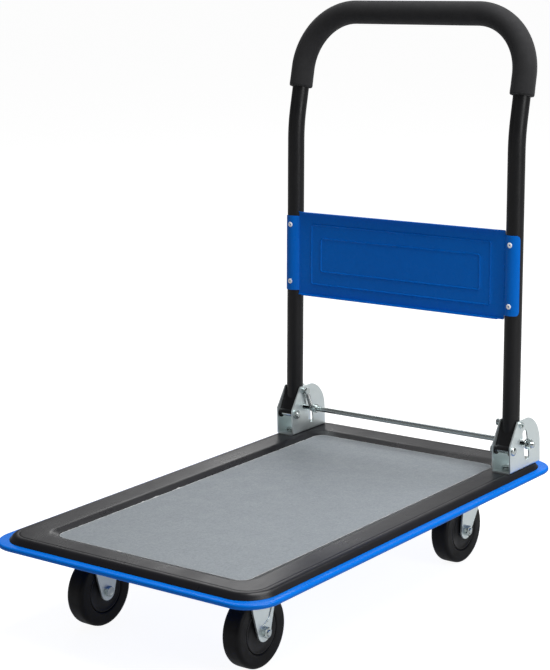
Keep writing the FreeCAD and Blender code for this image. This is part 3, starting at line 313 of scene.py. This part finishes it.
def rings_along(path, radii, segments):
    """Circles square to a path, with no twist between them."""
    headings = []
    for index in range(len(path)):
        before, after = path[max(index - 1, 0)], path[min(index + 1, len(path) - 1)]
        headings.append((after - before).normalized())
    side = headings[0].orthogonal().normalized()
    rings = []
    for point, heading, radius in zip(path, headings, radii):
        side = (side - heading * side.dot(heading)).normalized()
        rings.append(circle(point, side, heading.cross(side), radius, segments))
    return rings


def bent(points, radii, step=6 * MM):
    """A path through corner points, rounded at each inner one and evenly sampled."""
    path = [points[0]]
    for index, radius in enumerate(radii, start=1):
        corner = points[index]
        back = (points[index - 1] - corner).normalized()
        on = (points[index + 1] - corner).normalized()
        half_turn = (math.pi - back.angle(on)) / 2
        reach = radius * math.tan(half_turn)
        start = corner + back * reach
        middle = corner + (back + on).normalized() * (radius / math.cos(half_turn))
        path += straight(path[-1], start, step)
        first = start - middle
        axis = first.cross(corner + on * reach - middle).normalized()
        count = max(6, round(2 * half_turn * radius / step))
        for number in range(1, count + 1):
            turn = Matrix.Rotation(2 * half_turn * number / count, 3, axis)
            path.append(middle + turn @ first)
    return path + straight(path[-1], points[-1], step)


def straight(start, end, step):
    """Points along a straight run, four times as far apart as on a bend."""
    count = max(1, round((end - start).length / (4 * step)))
    return [start.lerp(end, number / count) for number in range(1, count + 1)]


def mid(node):
    first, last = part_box(node)
    return (first + last) / 2


def span_x(node):
    """A node's nearest and furthest distance from the middle of the cart, along X."""
    first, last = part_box(node)
    return sorted((abs(first.x), abs(last.x)))


def at_x(x, point):
    return Vector((x, point.y, point.z))


def leaned(point):
    """A point of the upright handle, given about the pivot, in the cart's frame."""
    return PIVOT + Matrix.Rotation(-LEAN, 3, "X") @ Vector(point)


# ---------------------------------------------------------------- sizes shared with the design

LEAN = math.radians(2.64)
LEG_OFFSET = 18.5 * MM
PIVOT = Vector((0, mid("pivot_bolt_left").y, mid("pivot_bolt_left").z))
LEG_X = mid("leg_foot_right").x
TUBE_RADIUS, TUBE_BORE = 13 * MM, 11.5 * MM
UPPER_LEAN = math.radians(13.8)
KINK_Z, KINK_RADIUS = 635 * MM, 250 * MM
BAR_Z, CORNER_RADIUS = 809 * MM, 90 * MM
PANEL_LOW, PANEL_HIGH = 365 * MM, 497.5 * MM
DECK_CORNER, MAT_CORNER = 55 * MM, 17 * MM
CORNER_STEPS = 14

# M8 bolts and nuts
FLATS, HEAD_HEIGHT, NUT_HEIGHT, NUT_BORE = 13 * MM, 5.3 * MM, 6.5 * MM, 4.1 * MM
THREAD_RADIUS, PITCH = 4 * MM, 1.25 * MM
NUT_STEPS = 36


# ---------------------------------------------------------------- the deck's top

def rounded_ring(node, grown, corner, z):
    """Points round a node's outline, grown outwards, with rounded corners."""
    low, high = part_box(node)
    points = []
    for quarter, (right, rear) in enumerate(((1, 1), (0, 1), (0, 0), (1, 0))):
        x = high.x + grown - corner if right else low.x - grown + corner
        y = high.y + grown - corner if rear else low.y - grown + corner
        for step in range(CORNER_STEPS + 1):
            turn = math.pi / 2 * (quarter + step / CORNER_STEPS)
            points.append(Vector((x + corner * math.cos(turn), y + corner * math.sin(turn), z)))
    return points


def deck_ring(inset, z):
    """Points that keep one distance, in millimetres, inside the rim's edge."""
    return rounded_ring("deck_pan", -inset * MM, DECK_CORNER - inset * MM, z)


def mat_ring(grown, z):
    """Points that keep one distance, in millimetres, outside the mat's edge."""
    return rounded_ring("grip_mat", grown * MM, MAT_CORNER + grown * MM, z)


def make_border():
    """The vinyl border: an outer wall, a soft shoulder, a flat top and a slope to the mat."""
    foot, top = (corner.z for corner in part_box("deck_cover"))
    rows = [deck_ring(inset, foot + 0.2 * MM) for inset in (20.0, 12.2)]
    for inset, drop in ((12.0, 7.4), (13.2, 6.0), (15.2, 3.7), (16.4, 2.3), (17.6, 1.25),
                        (19.0, 0.5), (20.6, 0.12), (22.5, 0.0), (24.4, 0.0), (25.3, 0.4),
                        (26.2, 0.0), (28.0, 0.0)):
        rows.append(deck_ring(inset, top - drop * MM))
    for grown, drop in ((20.0, 0.0), (15.5, 0.02), (13.4, 0.15), (11.6, 0.55), (9.8, 1.2),
                        (4.0, 3.6), (1.6, 4.5), (0.5, 4.85), (0.1, 5.2), (0.1, 5.9)):
        rows.append(mat_ring(grown, top - drop * MM))
    wave_height, waves_per_metre = 0.22 * MM, 14
    for ring in rows[2:]:
        for point in ring:
            place = Vector((point.x * waves_per_metre, point.y * waves_per_metre, 3.1))
            point.z += wave_height * noise.noise(place)
    Shape().add_rows([spaced(ring, 12 * MM) for ring in rows]).finish(
        "vinyl_border", "chassis", "vinyl_border", "deck_cover", sharp=60)


def make_mat():
    """The mat in the recess, with a softly rounded upper edge."""
    foot, top = (corner.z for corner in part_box("grip_mat"))
    rows = [mat_ring(-0.2, foot), mat_ring(-0.2, top - 0.6 * MM),
            mat_ring(-0.5, top - 0.15 * MM), mat_ring(-1.1, top)]
    Shape().add_rows(rows, caps=True).finish("grey_mat", "chassis", "mat", "grip_mat", sharp=50)


def make_mat_edge():
    """Along the mat's cut edge, a thin pale bead, uneven, painted as a highlight, with a few
    larger dust flecks at the front left.
    """
    path = spaced(mat_ring(-0.5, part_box("grip_mat")[1].z), 2.5 * MM)
    radii = []
    for point in path:
        radius = 0.26 + 0.3 * noise.noise(point * 210)
        if point.y < 0 and point.x < 0:
            radius += 3.2 * max(0, noise.noise(point * 75) - 0.3)
        radii.append(max(0.05, radius) * MM)
    # The pale bead all round is a painted highlight along the mat's edge; the larger front-left
    # flecks are dust.
    Shape().add_rows(rings_along(path, radii, 6), wrap_rows=True).finish(
        "pale_mat_bead_highlight_and_dust", "chassis", "mat", sharp=80, look="mat_edge")


def spaced(ring, step):
    """Add points along the long straight sides of a closed ring."""
    low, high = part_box("deck_pan")
    counts = (round((high.x - low.x) / step), round((high.y - low.y) / step))
    quarter = len(ring) // 4
    points = []
    for side in range(4):
        corner = ring[side * quarter:(side + 1) * quarter]
        following = ring[(side + 1) * quarter % len(ring)]
        count = counts[side % 2]
        points += corner
        points += [corner[-1].lerp(following, number / count) for number in range(1, count)]
    return points


# ---------------------------------------------------------------- the handle

def handle_corners():
    """Corner points of the handle's middle line, from the left foot to the right one."""
    foot = leaned((0, LEG_OFFSET, 15.5 * MM))
    kink = leaned((0, LEG_OFFSET, along_leg(KINK_Z)))
    bar = Vector((0, kink.y + (BAR_Z - KINK_Z) * math.tan(UPPER_LEAN), BAR_Z))
    left = [at_x(-LEG_X, point) for point in (foot, kink, bar)]
    return left + [at_x(LEG_X, point) for point in reversed(left)]


def make_tube():
    """The bent tube, open at both ends."""
    path = bent(handle_corners(), [KINK_RADIUS, CORNER_RADIUS, CORNER_RADIUS, KINK_RADIUS])
    Shape().sweep(path, [TUBE_RADIUS] * len(path), 48, bore=TUBE_BORE).finish(
        "tube", "handle", "black_tube", "handle_tube", sharp=60)


def make_foam_grip():
    """The foam sleeve, with softly rounded ends and the slight unevenness of foam."""
    _, kink, bar, far_bar, _, _ = handle_corners()
    low_z, outer = 692.5 * MM, 18.3 * MM
    start = kink.lerp(bar, (low_z - kink.z) / (bar.z - kink.z))
    end = at_x(-start.x, start)
    path = bent([start, bar, far_bar, end], [CORNER_RADIUS] * 2, step=4 * MM)
    heading = (path[1] - path[0]).normalized()
    rim = [(0.0, 1.9), (0.25, 1.1), (0.9, 0.45), (1.9, 0.1), (3.2, 0.0)]
    first = [start + heading * along * MM for along, _ in rim]
    last = [at_x(-point.x, point) for point in reversed(first)]
    middle = [point for point in path if 6 * MM < (point - start).length
              and 6 * MM < (point - end).length]
    ends = [outer - drop * MM for _, drop in rim]
    radii = [outer - 0.12 * MM + 0.12 * MM * noise.noise(point * 18) for point in middle]
    Shape().sweep(first + middle + last, ends + radii + ends[::-1], 56, bore=13.1 * MM).finish(
        "foam_grip", "handle", "foam", "handle_grip", sharp=70)


def ridge(distance, width):
    """Height from 0 to 1 of a soft pressed line at a distance from its middle."""
    if abs(distance) >= width / 2:
        return 0.0
    return 0.5 + 0.5 * math.cos(2 * math.pi * distance / width)


def off_rounded(x, z, half_x, half_z, corner):
    """Signed distance from a rounded rectangle's outline."""
    dx, dz = abs(x) - half_x + corner, abs(z) - half_z + corner
    return math.hypot(max(dx, 0), max(dz, 0)) + min(max(dx, dz), 0) - corner


def line_samples(reach, lines, step):
    """Places from -reach to reach, close together where a pressed line or its corner runs."""
    count = math.ceil(2 * reach / step)
    places = {round(-reach + 2 * reach * index / count, 7) for index in range(count + 1)}
    for line in lines:
        for index in range(-16, 5):
            places |= {round(line + index * 0.35 * MM, 7), round(-line - index * 0.35 * MM, 7)}
    return sorted(places)


def along_leg(height):
    """How far up a leg, from the pivot, a height above the floor is."""
    return (height - PIVOT.z + LEG_OFFSET * math.sin(LEAN)) / math.cos(LEAN)


def make_panel():
    """A pressed sheet with folded lips, and a tab wrapped round the front of each leg."""
    low, high = along_leg(PANEL_LOW), along_leg(PANEL_HIGH)
    half_z, middle_z = (high - low) / 2, (high + low) / 2
    sheet, bend = 1.2 * MM, 2.0 * MM
    plane = LEG_OFFSET - 5.8 * MM
    end_x, lip_end = 188.9 * MM, 180.2 * MM
    line_height, line_width, line_corner = 1.2 * MM, 2.8 * MM, 4 * MM
    lines = [(end_x - end_inset * MM, half_z - edge_inset * MM)
             for end_inset, edge_inset in ((24.6, 19.0), (43.0, 40.0))]
    columns = line_samples(end_x, [line[0] for line in lines], 6 * MM)
    columns += [side * (lip_end + step) for side in (-1, 1) for step in (-0.2 * MM, 0.2 * MM)]
    flat = line_samples(half_z - sheet / 2 - bend, [line[1] for line in lines], 4 * MM)[1:-1]
    rows = []
    for x in sorted(columns):
        lip = 5.4 * MM if abs(x) < lip_end else 0.4 * MM
        lower = [(-lip - bend, sheet / 2 - half_z)]
        for step in range(5):
            turn = math.pi / 2 * step / 4
            lower.append((-bend + bend * math.sin(turn),
                          sheet / 2 - half_z + bend - bend * math.cos(turn)))
        face = [(-sum(line_height * ridge(off_rounded(x, z, *line, line_corner), line_width)
                      for line in lines), z) for z in flat]
        upper = [(y, -z) for y, z in reversed(lower)]
        rows.append(thick_loop(lower + face + upper, sheet, x, plane, middle_z))
    shape = Shape().add_rows(rows, caps=True)
    for _, side in SIDES:
        add_tab(shape, side, low + 7 * MM, high - 7 * MM)
    shape.finish("handle_panel_sheet", "handle", "blue_paint", "handle_panel", sharp=50)


def thick_loop(curve, sheet, x, plane, middle_z):
    """A sheet's closed section from its middle line of (y, z) points."""
    front, back = [], []
    for index, (y, z) in enumerate(curve):
        before, after = curve[max(index - 1, 0)], curve[min(index + 1, len(curve) - 1)]
        along = Vector((after[0] - before[0], after[1] - before[1])).normalized()
        off_y, off_z = -along.y * sheet / 2, along.x * sheet / 2
        front.append(leaned((x, plane + y + off_y, middle_z + z + off_z)))
        back.append(leaned((x, plane + y - off_y, middle_z + z - off_z)))
    return front + back[::-1]


def add_tab(shape, side, low, high):
    """A strip round the front of a leg; its outer corners are rounded."""
    inner, outer, corner = TUBE_RADIUS + 0.05 * MM, TUBE_RADIUS + 1.25 * MM, 6 * MM
    reach = math.radians(66)
    rows = []
    for step in range(25):
        turn = -reach + 2 * reach * step / 24
        from_edge = (turn + reach) * outer if side < 0 else (reach - turn) * outer
        cut = corner - math.sqrt(max(corner ** 2 - max(corner - from_edge, 0) ** 2, 0))
        loop = []
        for radius, order in ((outer, 1), (inner, -1)):
            x = side * LEG_X + radius * math.sin(turn)
            y = LEG_OFFSET - radius * math.cos(turn)
            ends = (low + cut, high - cut)
            line = [ends[0] + (ends[1] - ends[0]) * k / 8 for k in range(9)]
            loop += [leaned((x, y, z)) for z in line[::order]]
        rows.append(loop)
    shape.add_rows(rows, caps=True)


def make_rivets():
    """Pop rivets: a low dome with a hole, and the broken mandrel inside it."""
    front = Matrix.Rotation(-LEAN, 3, "X") @ Vector((0, -1, 0))
    dome = [(2.4, -2.0), (4.0, -0.02), (4.05, 0.15), (3.9, 0.4), (3.4, 0.8), (2.7, 1.1),
            (2.0, 1.25), (1.5, 1.22), (1.3, 1.0), (1.25, 0.1), (1.2, -0.5), (0.9, -0.3),
            (0.5, -0.1), (0.02, -0.05)]
    shape = Shape()
    for _, side in SIDES:
        for z in (along_leg(PANEL_LOW) + 21 * MM, along_leg(PANEL_HIGH) - 21 * MM):
            base = leaned((side * LEG_X, LEG_OFFSET - TUBE_RADIUS - 1.25 * MM, z))
            shape.lathe(in_mm(dome), base, front, 28, closed=False)
    shape.finish("pop_rivets", "handle", "rivet_alloy", "panel_rivets", sharp=50)


# ---------------------------------------------------------------- wheels

def make_wheels():
    """Tyres with rounded shoulders, and hubs with a bevelled edge and a dished face."""
    tyre = [(30.6, -11.6), (31.2, -12.6), (32.2, -13.3), (33.4, -13.5), (36.0, -13.6),
            (43.4, -14.0), (45.4, -13.9), (47.2, -13.2), (48.7, -11.9), (49.6, -10.2),
            (49.9, -8.2), (50.0, -4.0)]
    hub = [(6.1, -13.0), (11.0, -13.0), (12.2, -12.6), (13.4, -11.6), (26.6, -11.6),
           (27.8, -12.5), (29.0, -12.9), (29.8, -12.6), (30.3, -11.8), (30.4, -10.6)]
    for end, label, _ in WHEELS:
        name = "%s_%s" % (end, label)
        for kind, half, node in (("tyre", tyre, "tyre_"), ("hub", hub, "wheel_hub_")):
            profile = half + [(radius, -along) for radius, along in reversed(half)]
            Shape().lathe(in_mm(profile), mid("tyre_" + name), (1, 0, 0), 96).finish(
                "%s_%s" % (kind, name), "wheel_" + name, kind, node + name, sharp=48)


# ---------------------------------------------------------------- fasteners

def hexagon_ring(centre, axis, along, chamfer):
    """A ring of points on a hexagon whose corners fall away from its end face."""
    side = axis.orthogonal().normalized()
    other = axis.cross(side)
    points = []
    for step in range(NUT_STEPS):
        turn = 2 * math.pi * step / NUT_STEPS
        radius = FLATS / 2 / math.cos((turn + math.pi / 6) % (math.pi / 3) - math.pi / 6)
        drop = (radius - FLATS / 2 * 0.97) * 0.55 * chamfer
        points.append(centre + axis * (along - drop)
                      + (side * math.cos(turn) + other * math.sin(turn)) * radius)
    return points


def ring_at(base, axis, radius, along):
    side = axis.orthogonal().normalized()
    return circle(base + axis * along, side, axis.cross(side), radius, NUT_STEPS)


def hexagon_rows(base, axis, height):
    """Rings up a hexagonal block that stands on the part that it clamps."""
    return [ring_at(base, axis, FLATS * 0.48, 0.0), hexagon_ring(base, axis, 0.3 * MM, -1),
            hexagon_ring(base, axis, height, 1), ring_at(base, axis, FLATS * 0.485, height)]


def add_head(shape, base, axis):
    """A bolt's head, slightly dished."""
    axis = Vector(axis)
    rows = hexagon_rows(base, axis, HEAD_HEIGHT)
    rows.append(ring_at(base, axis, FLATS * 0.36, HEAD_HEIGHT))
    rows.append(ring_at(base, axis, FLATS * 0.30, HEAD_HEIGHT - 0.35 * MM))
    shape.add_rows(rows, caps=True)


def add_nut(shape, base, axis, height=NUT_HEIGHT):
    """A nut whose bore is countersunk on its free side."""
    axis = Vector(axis)
    rows = hexagon_rows(base, axis, height)
    for share, along in ((1.12, height), (0.96, height - 0.6 * MM), (0.96, 0.2 * MM)):
        rows.append(ring_at(base, axis, NUT_BORE * share, along))
    shape.add_rows(rows, wrap_rows=True)


def add_thread(shape, base, axis, length):
    """A threaded end, as rings one pitch apart, with a chamfered tip."""
    profile = [(THREAD_RADIUS * 0.9, 0.0)]
    along = PITCH / 2
    while along < length - PITCH:
        profile += [(THREAD_RADIUS * 0.985, along - PITCH * 0.06),
                    (THREAD_RADIUS * 0.985, along + PITCH * 0.06),
                    (THREAD_RADIUS * 0.87, along + PITCH / 2)]
        along += PITCH
    profile += [(THREAD_RADIUS * 0.95, length - PITCH * 0.8), (THREAD_RADIUS * 0.78, length),
                (0.1 * THREAD_RADIUS, length)]
    shape.lathe(profile, base, axis, 32, closed=False)


def make_axle_fasteners():
    """Axle bolts whose heads face inwards, and their nuts outside the forks."""
    for end, label, side in WHEELS:
        name = "%s_%s" % (end, label)
        body = "chassis" if end == "front" else "swivel_" + label
        axle = mid("axle_nut_" + name)
        head_end, tip = span_x("axle_bolt_" + name)
        nut_face = span_x("axle_nut_" + name)[0]
        head_face = head_end + HEAD_HEIGHT
        bolt, nut = Shape(), Shape()
        add_head(bolt, at_x(side * head_face, axle), (-side, 0, 0))
        bolt.lathe([(3.95 * MM, 0), (3.95 * MM, nut_face - head_face)],
                   at_x(side * head_face, axle), (side, 0, 0), 32, closed=False)
        add_thread(bolt, at_x(side * nut_face, axle), (side, 0, 0), tip - nut_face)
        bolt.finish("axle_bolt_detail_" + name, body, "zinc_hardware", "axle_bolt_" + name)
        add_nut(nut, at_x(side * nut_face, axle), (side, 0, 0))
        nut.finish("axle_nut_detail_" + name, body, "zinc_hardware", "axle_nut_" + name)


def make_fork_creases_painted_shade():
    """A pressed crease on the outer leg of each front fork, from its rear edge to the nut, drawn
    in the darker hardware metal as painted shade along the crease.
    """
    for label, side in SIDES:
        axle = mid("axle_nut_front_" + label)
        face = side * (span_x("axle_nut_front_" + label)[1] - NUT_HEIGHT)
        points = [Vector((face, axle.y + along, axle.z + up))
                  for along, up in in_mm(((21, 62), (15.5, 30), (9, 15), (-4, 8.5)))]
        path = bent(points, [30 * MM, 14 * MM], step=2 * MM)
        radii = [1.2 * MM] * (len(path) - 1) + [0.4 * MM]
        # The darker hardware metal on this bead is painted shade in the crease.
        Shape().sweep(path, radii, 12).finish("fork_crease_painted_shade_" + label, "chassis", "zinc_sheet",
                                              sharp=80, look="zinc_hardware")


def make_bracket_bolts():
    """Bolts through each bracket's floor, and their nuts under the deck."""
    low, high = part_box("bracket_bolts")
    nut_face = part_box("bracket_nuts")[0].z + NUT_HEIGHT
    head_face = high.z - HEAD_HEIGHT
    bolts, nuts = Shape(), Shape()
    for _, side in SIDES:
        for y in (low.y + FLATS / 2, high.y - FLATS / 2):
            place = Vector((side * LEG_X, y, head_face))
            add_head(bolts, place, (0, 0, 1))
            add_thread(bolts, place, (0, 0, -1), head_face - low.z)
            add_nut(nuts, Vector((side * LEG_X, y, nut_face)), (0, 0, -1))
    bolts.finish("bracket_bolt_details", "chassis", "zinc_hardware", "bracket_bolts")
    nuts.finish("bracket_nut_details", "chassis", "zinc_hardware", "bracket_nuts")


def make_caster_bolts():
    """Four bolts up through each caster's top plate."""
    low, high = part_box("caster_bolts")
    head_face = low.z + HEAD_HEIGHT
    bolts = Shape()
    for label, _ in SIDES:
        for plate in ("fixed_fork_", "swivel_plate_"):
            centre = mid(plate + label)
            for across in (-24 * MM, 24 * MM):
                for along in (-39 * MM, 39 * MM):
                    place = Vector((centre.x + across, centre.y + along, head_face))
                    add_head(bolts, place, (0, 0, -1))
                    add_thread(bolts, place, (0, 0, 1), high.z - head_face)
    bolts.finish("caster_bolt_details", "chassis", "zinc_hardware", "caster_bolts")


def make_pivots():
    """Hinge pins: a domed head on the outer ear, and a nut on the inner one."""
    dome = [(4.0, -31.4), (4.0, 0.0), (6.5, 0.0), (6.5, 0.7), (6.2, 1.6), (5.4, 2.6),
            (4.1, 3.4), (2.4, 3.9), (0.02, 4.0)]
    for label, side in SIDES:
        nut_end, nut_face = span_x("pivot_nut_" + label)
        shank_tip, head_tip = span_x("pivot_bolt_" + label)
        nut, bolt = Shape(), Shape()
        add_nut(nut, at_x(side * nut_face, PIVOT), (-side, 0, 0), nut_face - nut_end)
        nut.finish("pivot_nut_detail_" + label, "chassis", "zinc_hardware", "pivot_nut_" + label)
        bolt.lathe(in_mm(dome), at_x(side * (head_tip - 4 * MM), PIVOT), (side, 0, 0), 36,
                   closed=False)
        thread_start = nut_face + 1 * MM
        add_thread(bolt, at_x(side * thread_start, PIVOT), (-side, 0, 0),
                   thread_start - shank_tip)
        bolt.finish("pivot_bolt_detail_" + label, "chassis", "zinc_hardware",
                    "pivot_bolt_" + label)


def make_lock_bar():
    """The bar with threaded ends, its nuts outside the brackets, and rounded collars."""
    centre = mid("lock_bar")
    bar_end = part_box("lock_bar")[1].x
    nut_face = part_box("lock_bar_nuts")[1].x - NUT_HEIGHT
    bar, nuts, collars = Shape(), Shape(), Shape()
    bar.lathe([(THREAD_RADIUS, 0), (THREAD_RADIUS, 2 * nut_face)], at_x(-nut_face, centre),
              (1, 0, 0), 48, closed=False)
    bore, soft = 4.05, 0.5
    for _, side in SIDES:
        face = at_x(side * nut_face, centre)
        add_thread(bar, face, (side, 0, 0), bar_end - nut_face)
        add_nut(nuts, face, (side, 0, 0))
        for inner, outer, radius in ((168.8, 175.8, 6.5), (217.2, 219.7, 8.0)):
            ring = [(bore, inner), (radius - soft, inner), (radius, inner + soft),
                    (radius, outer - soft), (radius - soft, outer), (bore, outer)]
            collars.lathe(in_mm(ring), at_x(0, centre), (side, 0, 0), 40)
    bar.finish("lock_bar_rod", "lock", "zinc_hardware", "lock_bar")
    nuts.finish("lock_bar_nut_details", "lock", "zinc_hardware", "lock_bar_nuts")
    collars.finish("lock_bar_collar_details", "lock", "zinc_hardware", "lock_bar_collars")


def wire_eye(centre, across, along, radius, first_turn):
    """An open loop of wire, from its first angle in degrees on."""
    steps = 21
    turns = [math.radians(first_turn + 335 * step / steps) for step in range(steps + 1)]
    return [centre + (across * math.cos(turn) + along * math.sin(turn)) * radius
            for turn in turns]


def make_springs():
    """Wound tension springs: an eye on the bar, close turns, and an eye on the stud."""
    bar, stud = mid("lock_bar"), mid("spring_stud_right")
    wire, coil_radius, neck = 0.55 * MM, 2.8 * MM, 1.2 * MM
    low_eye, high_eye = 4.7 * MM, 4.45 * MM
    turns, steps = 19, 14
    outward = Vector((1, 0, 0))
    for label, _ in SIDES:
        x = mid("lock_spring_" + label).x
        low_end, high_end = at_x(x, bar), at_x(x, stud)
        along = (high_end - low_end).normalized()
        across = outward.cross(along)
        first = low_eye + neck
        last = (high_end - low_end).length - high_eye - neck
        path = wire_eye(low_end, across, along, low_eye, -245)
        for step in range(turns * steps + 1):
            turn = 2 * math.pi * step / steps
            share = step / (turns * steps)
            reach = coil_radius * min(1, share * turns, (1 - share) * turns)
            path.append(low_end + along * (first + (last - first) * share)
                        + (across * math.cos(turn) + outward * math.sin(turn)) * reach)
        path += wire_eye(high_end, across, along, high_eye, -90)
        spring = Shape().sweep(path, [wire] * len(path), 8).finish(
            "lock_spring_coil_" + label, None, "spring_steel", "lock_spring_" + label, sharp=80)
        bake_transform(spring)


def soften_cad_edges():
    """Small bevels on the pressed steel parts that keep their design shape."""
    for name, thing in NODES.items():
        if name.startswith(("hinge_bracket", "fixed_fork", "swivel_fork", "swivel_plate",
                            "leg_foot", "outer_studs", "spring_stud")):
            bevel = thing.modifiers.new("edges", "BEVEL")
            bevel.width = 0.45 * MM
            bevel.segments = 2
            bevel.limit_method = "ANGLE"
            bevel.angle_limit = math.radians(35)
            bevel.harden_normals = True


# ---------------------------------------------------------------- stage, light, camera

def area_light(name, place, target, width, height, power):
    """A soft light that faces a point, in watts; the camera doesn't see it."""
    data = bpy.data.lights.new(name, "AREA")
    data.shape = "RECTANGLE"
    data.size, data.size_y = width, height
    data.energy = power
    thing = bpy.data.objects.new(name, data)
    thing.location = place
    thing.rotation_mode = "QUATERNION"
    thing.rotation_quaternion = (Vector(target) - Vector(place)).to_track_quat("-Z", "Y")
    thing.visible_camera = False
    bpy.context.scene.collection.objects.link(thing)


def seen_or_lit(tree, seen, lit):
    """One strength for what is seen directly, another for what lights the object."""
    rays = tree.nodes.new("ShaderNodeLightPath")
    pick = tree.nodes.new("ShaderNodeMapRange")
    pick.inputs["To Min"].default_value = lit
    pick.inputs["To Max"].default_value = seen
    tree.links.new(rays.outputs["Is Camera Ray"], pick.inputs["Value"])
    return pick.outputs["Result"]


def make_floor():
    """A plain pale floor that reaches past every view."""
    reach = 30.0
    mesh = bpy.data.meshes.new("floor")
    mesh.from_pydata([(-reach, -reach, 0), (reach, -reach, 0), (reach, reach, 0),
                      (-reach, reach, 0)], [], [(0, 1, 2, 3)])
    floor = bpy.data.objects.new("floor", mesh)
    bpy.context.scene.collection.objects.link(floor)
    pale = Paint("pale_floor", (0.32, 0.32, 0.32), 0.8, specular=0.05)
    pale.rough(pale.noise(3, 2), 0.7, 0.9)
    pale.bsdf.inputs["Emission Color"].default_value = (1, 1, 1, 1)
    pale.link(seen_or_lit(pale.tree, 0.93, 0.27), pale.bsdf.inputs["Emission Strength"])
    mesh.materials.append(pale.mat)


def make_lights():
    """A white surround and soft lights: a strong one overhead and weaker ones round it."""
    world = bpy.data.worlds.new("studio")
    bpy.context.scene.world = world
    world.use_nodes = True
    background = world.node_tree.nodes["Background"]
    background.inputs["Color"].default_value = (1, 1, 1, 1)
    world.node_tree.links.new(seen_or_lit(world.node_tree, 1.0, 0.14),
                              background.inputs["Strength"])
    middle, deck = (0, 0, 0.3), (0, 0, 0.15)
    area_light("key_top", (0.9, 0.6, 3.2), middle, 2.4, 2.4, 135)
    area_light("side_right", (3.0, -0.3, 1.5), middle, 1.2, 2.0, 28)
    area_light("front_fill", (-1.6, -3.2, 1.5), middle, 1.2, 1.8, 1.4)
    area_light("back_sheen", (-1.9, 2.9, 1.5), deck, 2.6, 1.6, 7)
    area_light("rod_glint", (-1.75, 2.1, 2.0), middle, 0.5, 2.2, 6)
    bpy.context.scene.view_settings.view_transform = "Standard"


def make_camera():
    """The camera stands ahead of the cart and to its right, a little above the handle."""
    place = Vector((1.5611, -2.0113, 0.9327))
    ahead = Vector((-0.58910, 0.78966, -0.17146))
    right = Vector((0.80351, 0.59492, -0.02077)).normalized()
    ahead = (ahead - right * ahead.dot(right)).normalized()
    data = bpy.data.cameras.new("camera")
    data.lens = 99.2
    data.sensor_width = 36.0
    data.shift_x, data.shift_y = -0.0624, -0.1216
    data.clip_start, data.clip_end = 0.05, 100
    camera = bpy.data.objects.new("camera", data)
    turn = Matrix((right, right.cross(ahead), -ahead)).transposed()
    camera.matrix_world = Matrix.Translation(place) @ turn.to_4x4()
    bpy.context.scene.collection.objects.link(camera)
    bpy.context.scene.camera = camera


dress_cad_nodes()
make_border()
make_mat()
make_mat_edge()
make_tube()
make_foam_grip()
make_panel()
make_rivets()
make_wheels()
make_axle_fasteners()
make_fork_creases_painted_shade()
make_bracket_bolts()
make_caster_bolts()
make_pivots()
make_lock_bar()
make_springs()
soften_cad_edges()
make_floor()
make_lights()
make_camera()
